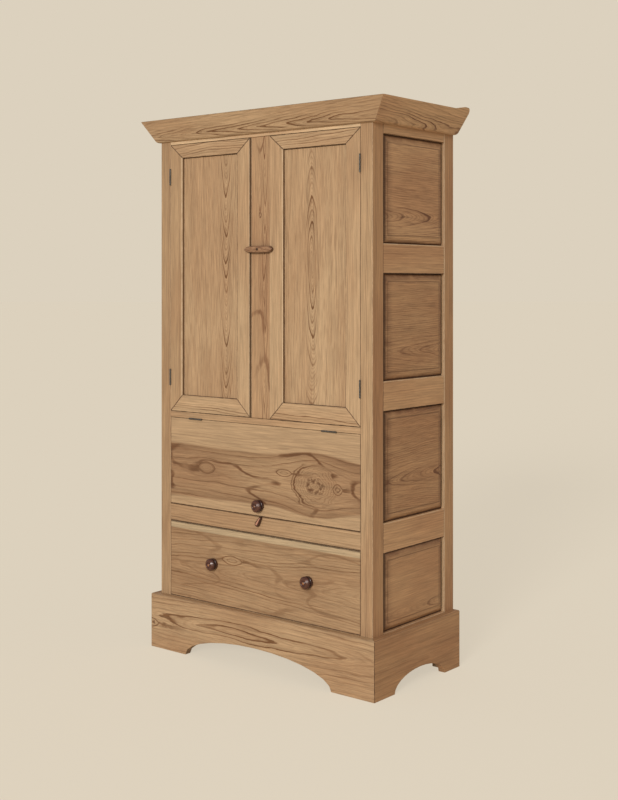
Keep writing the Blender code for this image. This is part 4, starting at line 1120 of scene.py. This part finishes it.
def catch():
    """The flap's catch: a tapering drop that turns on its peg."""
    low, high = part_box("flap_catch")
    joint = next(joint for joint in behaviour["joints"] if joint["name"] == "flap_catch_turn")
    pivot = Vector(joint["pos_m"])
    tip = pivot + catch_length * Vector((math.sin(catch_lean), 0.0, math.cos(catch_lean)))
    back = front_y - catch_gap

    def ring(inset, y, tone):
        """The outline round the drop's tip and root, drawn in by a share of their radii."""
        spots = []
        ends = zip(circle(tip, catch_tip_radius * (1 - inset), y),
                   circle(pivot, catch_root_radius * (1 - inset), y))
        for step, pair in enumerate(ends):
            turn = math.tau * step / round_steps
            spots.append(max(pair, key=lambda spot: spot[0] * math.cos(turn) + spot[2] * math.sin(turn)))
        return (spots, tone)

    # The tone paints a dark outline at the rim and a pale highlight streak along the crown.
    rings = [(circle(pivot, catch_peg_radius, high.y), 0.0), (circle(pivot, catch_peg_radius, back), 0.0),
             ring(back_share, back, 0.0), ring(0.0, back - catch_back_easing, 0.05)]
    for inward, outward in quarter_round:
        rings.append(ring(face_share * inward, low.y + catch_rounding * outward,
                          0.02 + 0.60 * inward ** 3))
    rings.append(ring(crown_share, low.y, 1.0))
    loft("flap_catch_shaped", rings, catch_wood, "flap_catch", "flap_catch")


catch()


# Screws in the hinge leaves and nails in the back, set out by one geometry group

screw_radius, screw_height, screw_sink = 0.0023, 0.0001, 0.00015
first_roll, roll_step = 0.9, 1.7
# The halves of a slotted head: their arcs' starts and steps in degrees, and their share of its radius
half_starts, half_step, half_share = (12, 192), 13, 0.94
# A leaf's three screws: how far along it from its middle, and their depth (Y)
screw_rows = ((-0.0195, -0.2132), (0.0, -0.2166), (0.0195, -0.2132))
nail_radius, nail_height = 0.0024, 0.0005
nail_shares = (0.2, 0.8)
nail_stray, nail_drop = 0.003, 0.002
top_nail_drop = 0.025


def head_mesh(name, radius, height, slotted):
    """The head of a screw, in two halves either side of its slot, or of a cut nail."""
    shape = bmesh.new()

    def cone(segments, low_share, high_share, middle):
        bmesh.ops.create_cone(shape, cap_ends=True, segments=segments, radius1=radius * low_share,
                              radius2=radius * high_share, depth=height * 0.5,
                              matrix=Matrix.Translation((0, 0, height * middle)))

    cone(20, 1.0, 0.9, 0.25)
    if not slotted:
        cone(8, 0.8, 0.25, 0.75)
    for start in half_starts if slotted else ():
        angles = [math.radians(start + half_step * step) for step in range(13)]
        arc = [(radius * half_share * math.cos(angle), radius * half_share * math.sin(angle))
               for angle in angles]
        lower = [shape.verts.new((x, y, height * 0.4)) for x, y in arc]
        upper = [shape.verts.new((x * 0.96, y * 0.96, height)) for x, y in arc]
        shape.faces.new(upper)
        shape.faces.new(lower[::-1])
        for here in range(len(arc)):
            after = (here + 1) % len(arc)
            shape.faces.new((lower[here], lower[after], upper[after], upper[here]))
    return bpy.data.objects.new(name, mesh_of(name, shape))


def setting_out():
    """Places a head at every point, turned as the point's turn says."""
    tree = bpy.data.node_groups.new("set heads", "GeometryNodeTree")
    for label, way, kind in (("Geometry", "INPUT", "Geometry"), ("Head", "INPUT", "Object"),
                             ("Finish", "INPUT", "Material"), ("Geometry", "OUTPUT", "Geometry")):
        tree.interface.new_socket(label, in_out=way, socket_type=f"NodeSocket{kind}")

    def step(kind, inputs, **settings):
        return new_node(kind, inputs, tree, **settings).outputs

    given = step("NodeGroupInput", {})
    head = step("GeometryNodeObjectInfo", {"Object": given["Head"]})
    turn = step("GeometryNodeInputNamedAttribute", {"Name": "turn"}, data_type="FLOAT_VECTOR")
    rotation = step("FunctionNodeEulerToRotation", [turn["Attribute"]])
    spread = step("GeometryNodeInstanceOnPoints", {
        "Points": given["Geometry"], "Instance": head["Geometry"], "Rotation": rotation[0]})
    solid = step("GeometryNodeRealizeInstances", {"Geometry": spread["Instances"]})
    coat = step("GeometryNodeSetMaterial", {"Geometry": solid["Geometry"],
                                            "Material": given["Finish"]})
    step("NodeGroupOutput", {"Geometry": coat["Geometry"]})
    return tree


heads_group = setting_out()


def set_heads(name, spots, head, body):
    """One mesh of heads for one body; a spot is (place, direction out, roll)."""
    mesh = bpy.data.meshes.new(f"{name}_points")
    mesh.from_pydata([place for place, _, _ in spots], [], [])
    turns = mesh.attributes.new("turn", "FLOAT_VECTOR", "POINT")
    for number, (_, out, roll) in enumerate(spots):
        turn = Vector(out).to_track_quat("Z", "Y").to_matrix() @ Matrix.Rotation(roll, 3, "Z")
        turns.data[number].vector = turn.to_euler()
    points = stand(f"{name}_points", mesh)
    spread = points.modifiers.new("heads", "NODES")
    spread.node_group = heads_group
    sockets = {item.name: item.identifier for item in heads_group.interface.items_tree
               if item.in_out == "INPUT"}
    spread[sockets["Head"]] = head
    spread[sockets["Finish"]] = old_iron
    ready = points.evaluated_get(bpy.context.evaluated_depsgraph_get())
    solid = bpy.data.meshes.new_from_object(ready)
    solid.name = name
    bpy.data.objects.remove(points)
    made = stand(name, solid)
    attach(made, body)


def hinge_screws():
    """Three screws in each leaf: a flap's leaves face up or down, a door's to the side."""
    head = head_mesh("screw_head", screw_radius, screw_height, True)
    spots = {}
    for node in leaves:
        low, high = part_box(node)
        middle = (low + high) / 2
        on_flap = node.startswith("flap")
        out = (1.0 if "moving" in node else -1.0) * (1.0 if on_flap else math.copysign(1.0, middle.x))
        across, along = (2, 0) if on_flap else (0, 2)
        for number, (shift, y) in enumerate(screw_rows):
            place, way = [middle.x, y, middle.z], [0.0, 0.0, 0.0]
            place[across] -= out * screw_sink
            place[along] += shift
            way[across] = out
            roll = first_roll + roll_step * number + middle.x
            spots.setdefault(body_of_node[node], []).append((place, way, roll))
    for body, places in spots.items():
        set_heads(f"hinge_screws_{body}", places, head, body)


hinge_screws()


def back_nails():
    """Two nails in every plank at each floor and near the top, none of them quite in line."""
    head = head_mesh("nail_head", nail_radius, nail_height, False)
    low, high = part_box("back")
    levels = [(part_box(node)[0].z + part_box(node)[1].z) / 2 for node in floors]
    spots = []
    for level in [*levels, high.z - top_nail_drop]:
        for place in [number + share for number in range(plank_count) for share in nail_shares]:
            jolt = math.sin(17.0 * place + 40.0 * level)
            spots.append(((low.x + plank_width * place + nail_stray * jolt, high.y - nail_stand,
                           level + nail_drop * math.cos(29.0 * jolt)), (0.0, 1.0, 0.0), jolt))
    set_heads("back_nails", spots, head, "case")


back_nails()

low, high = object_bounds()
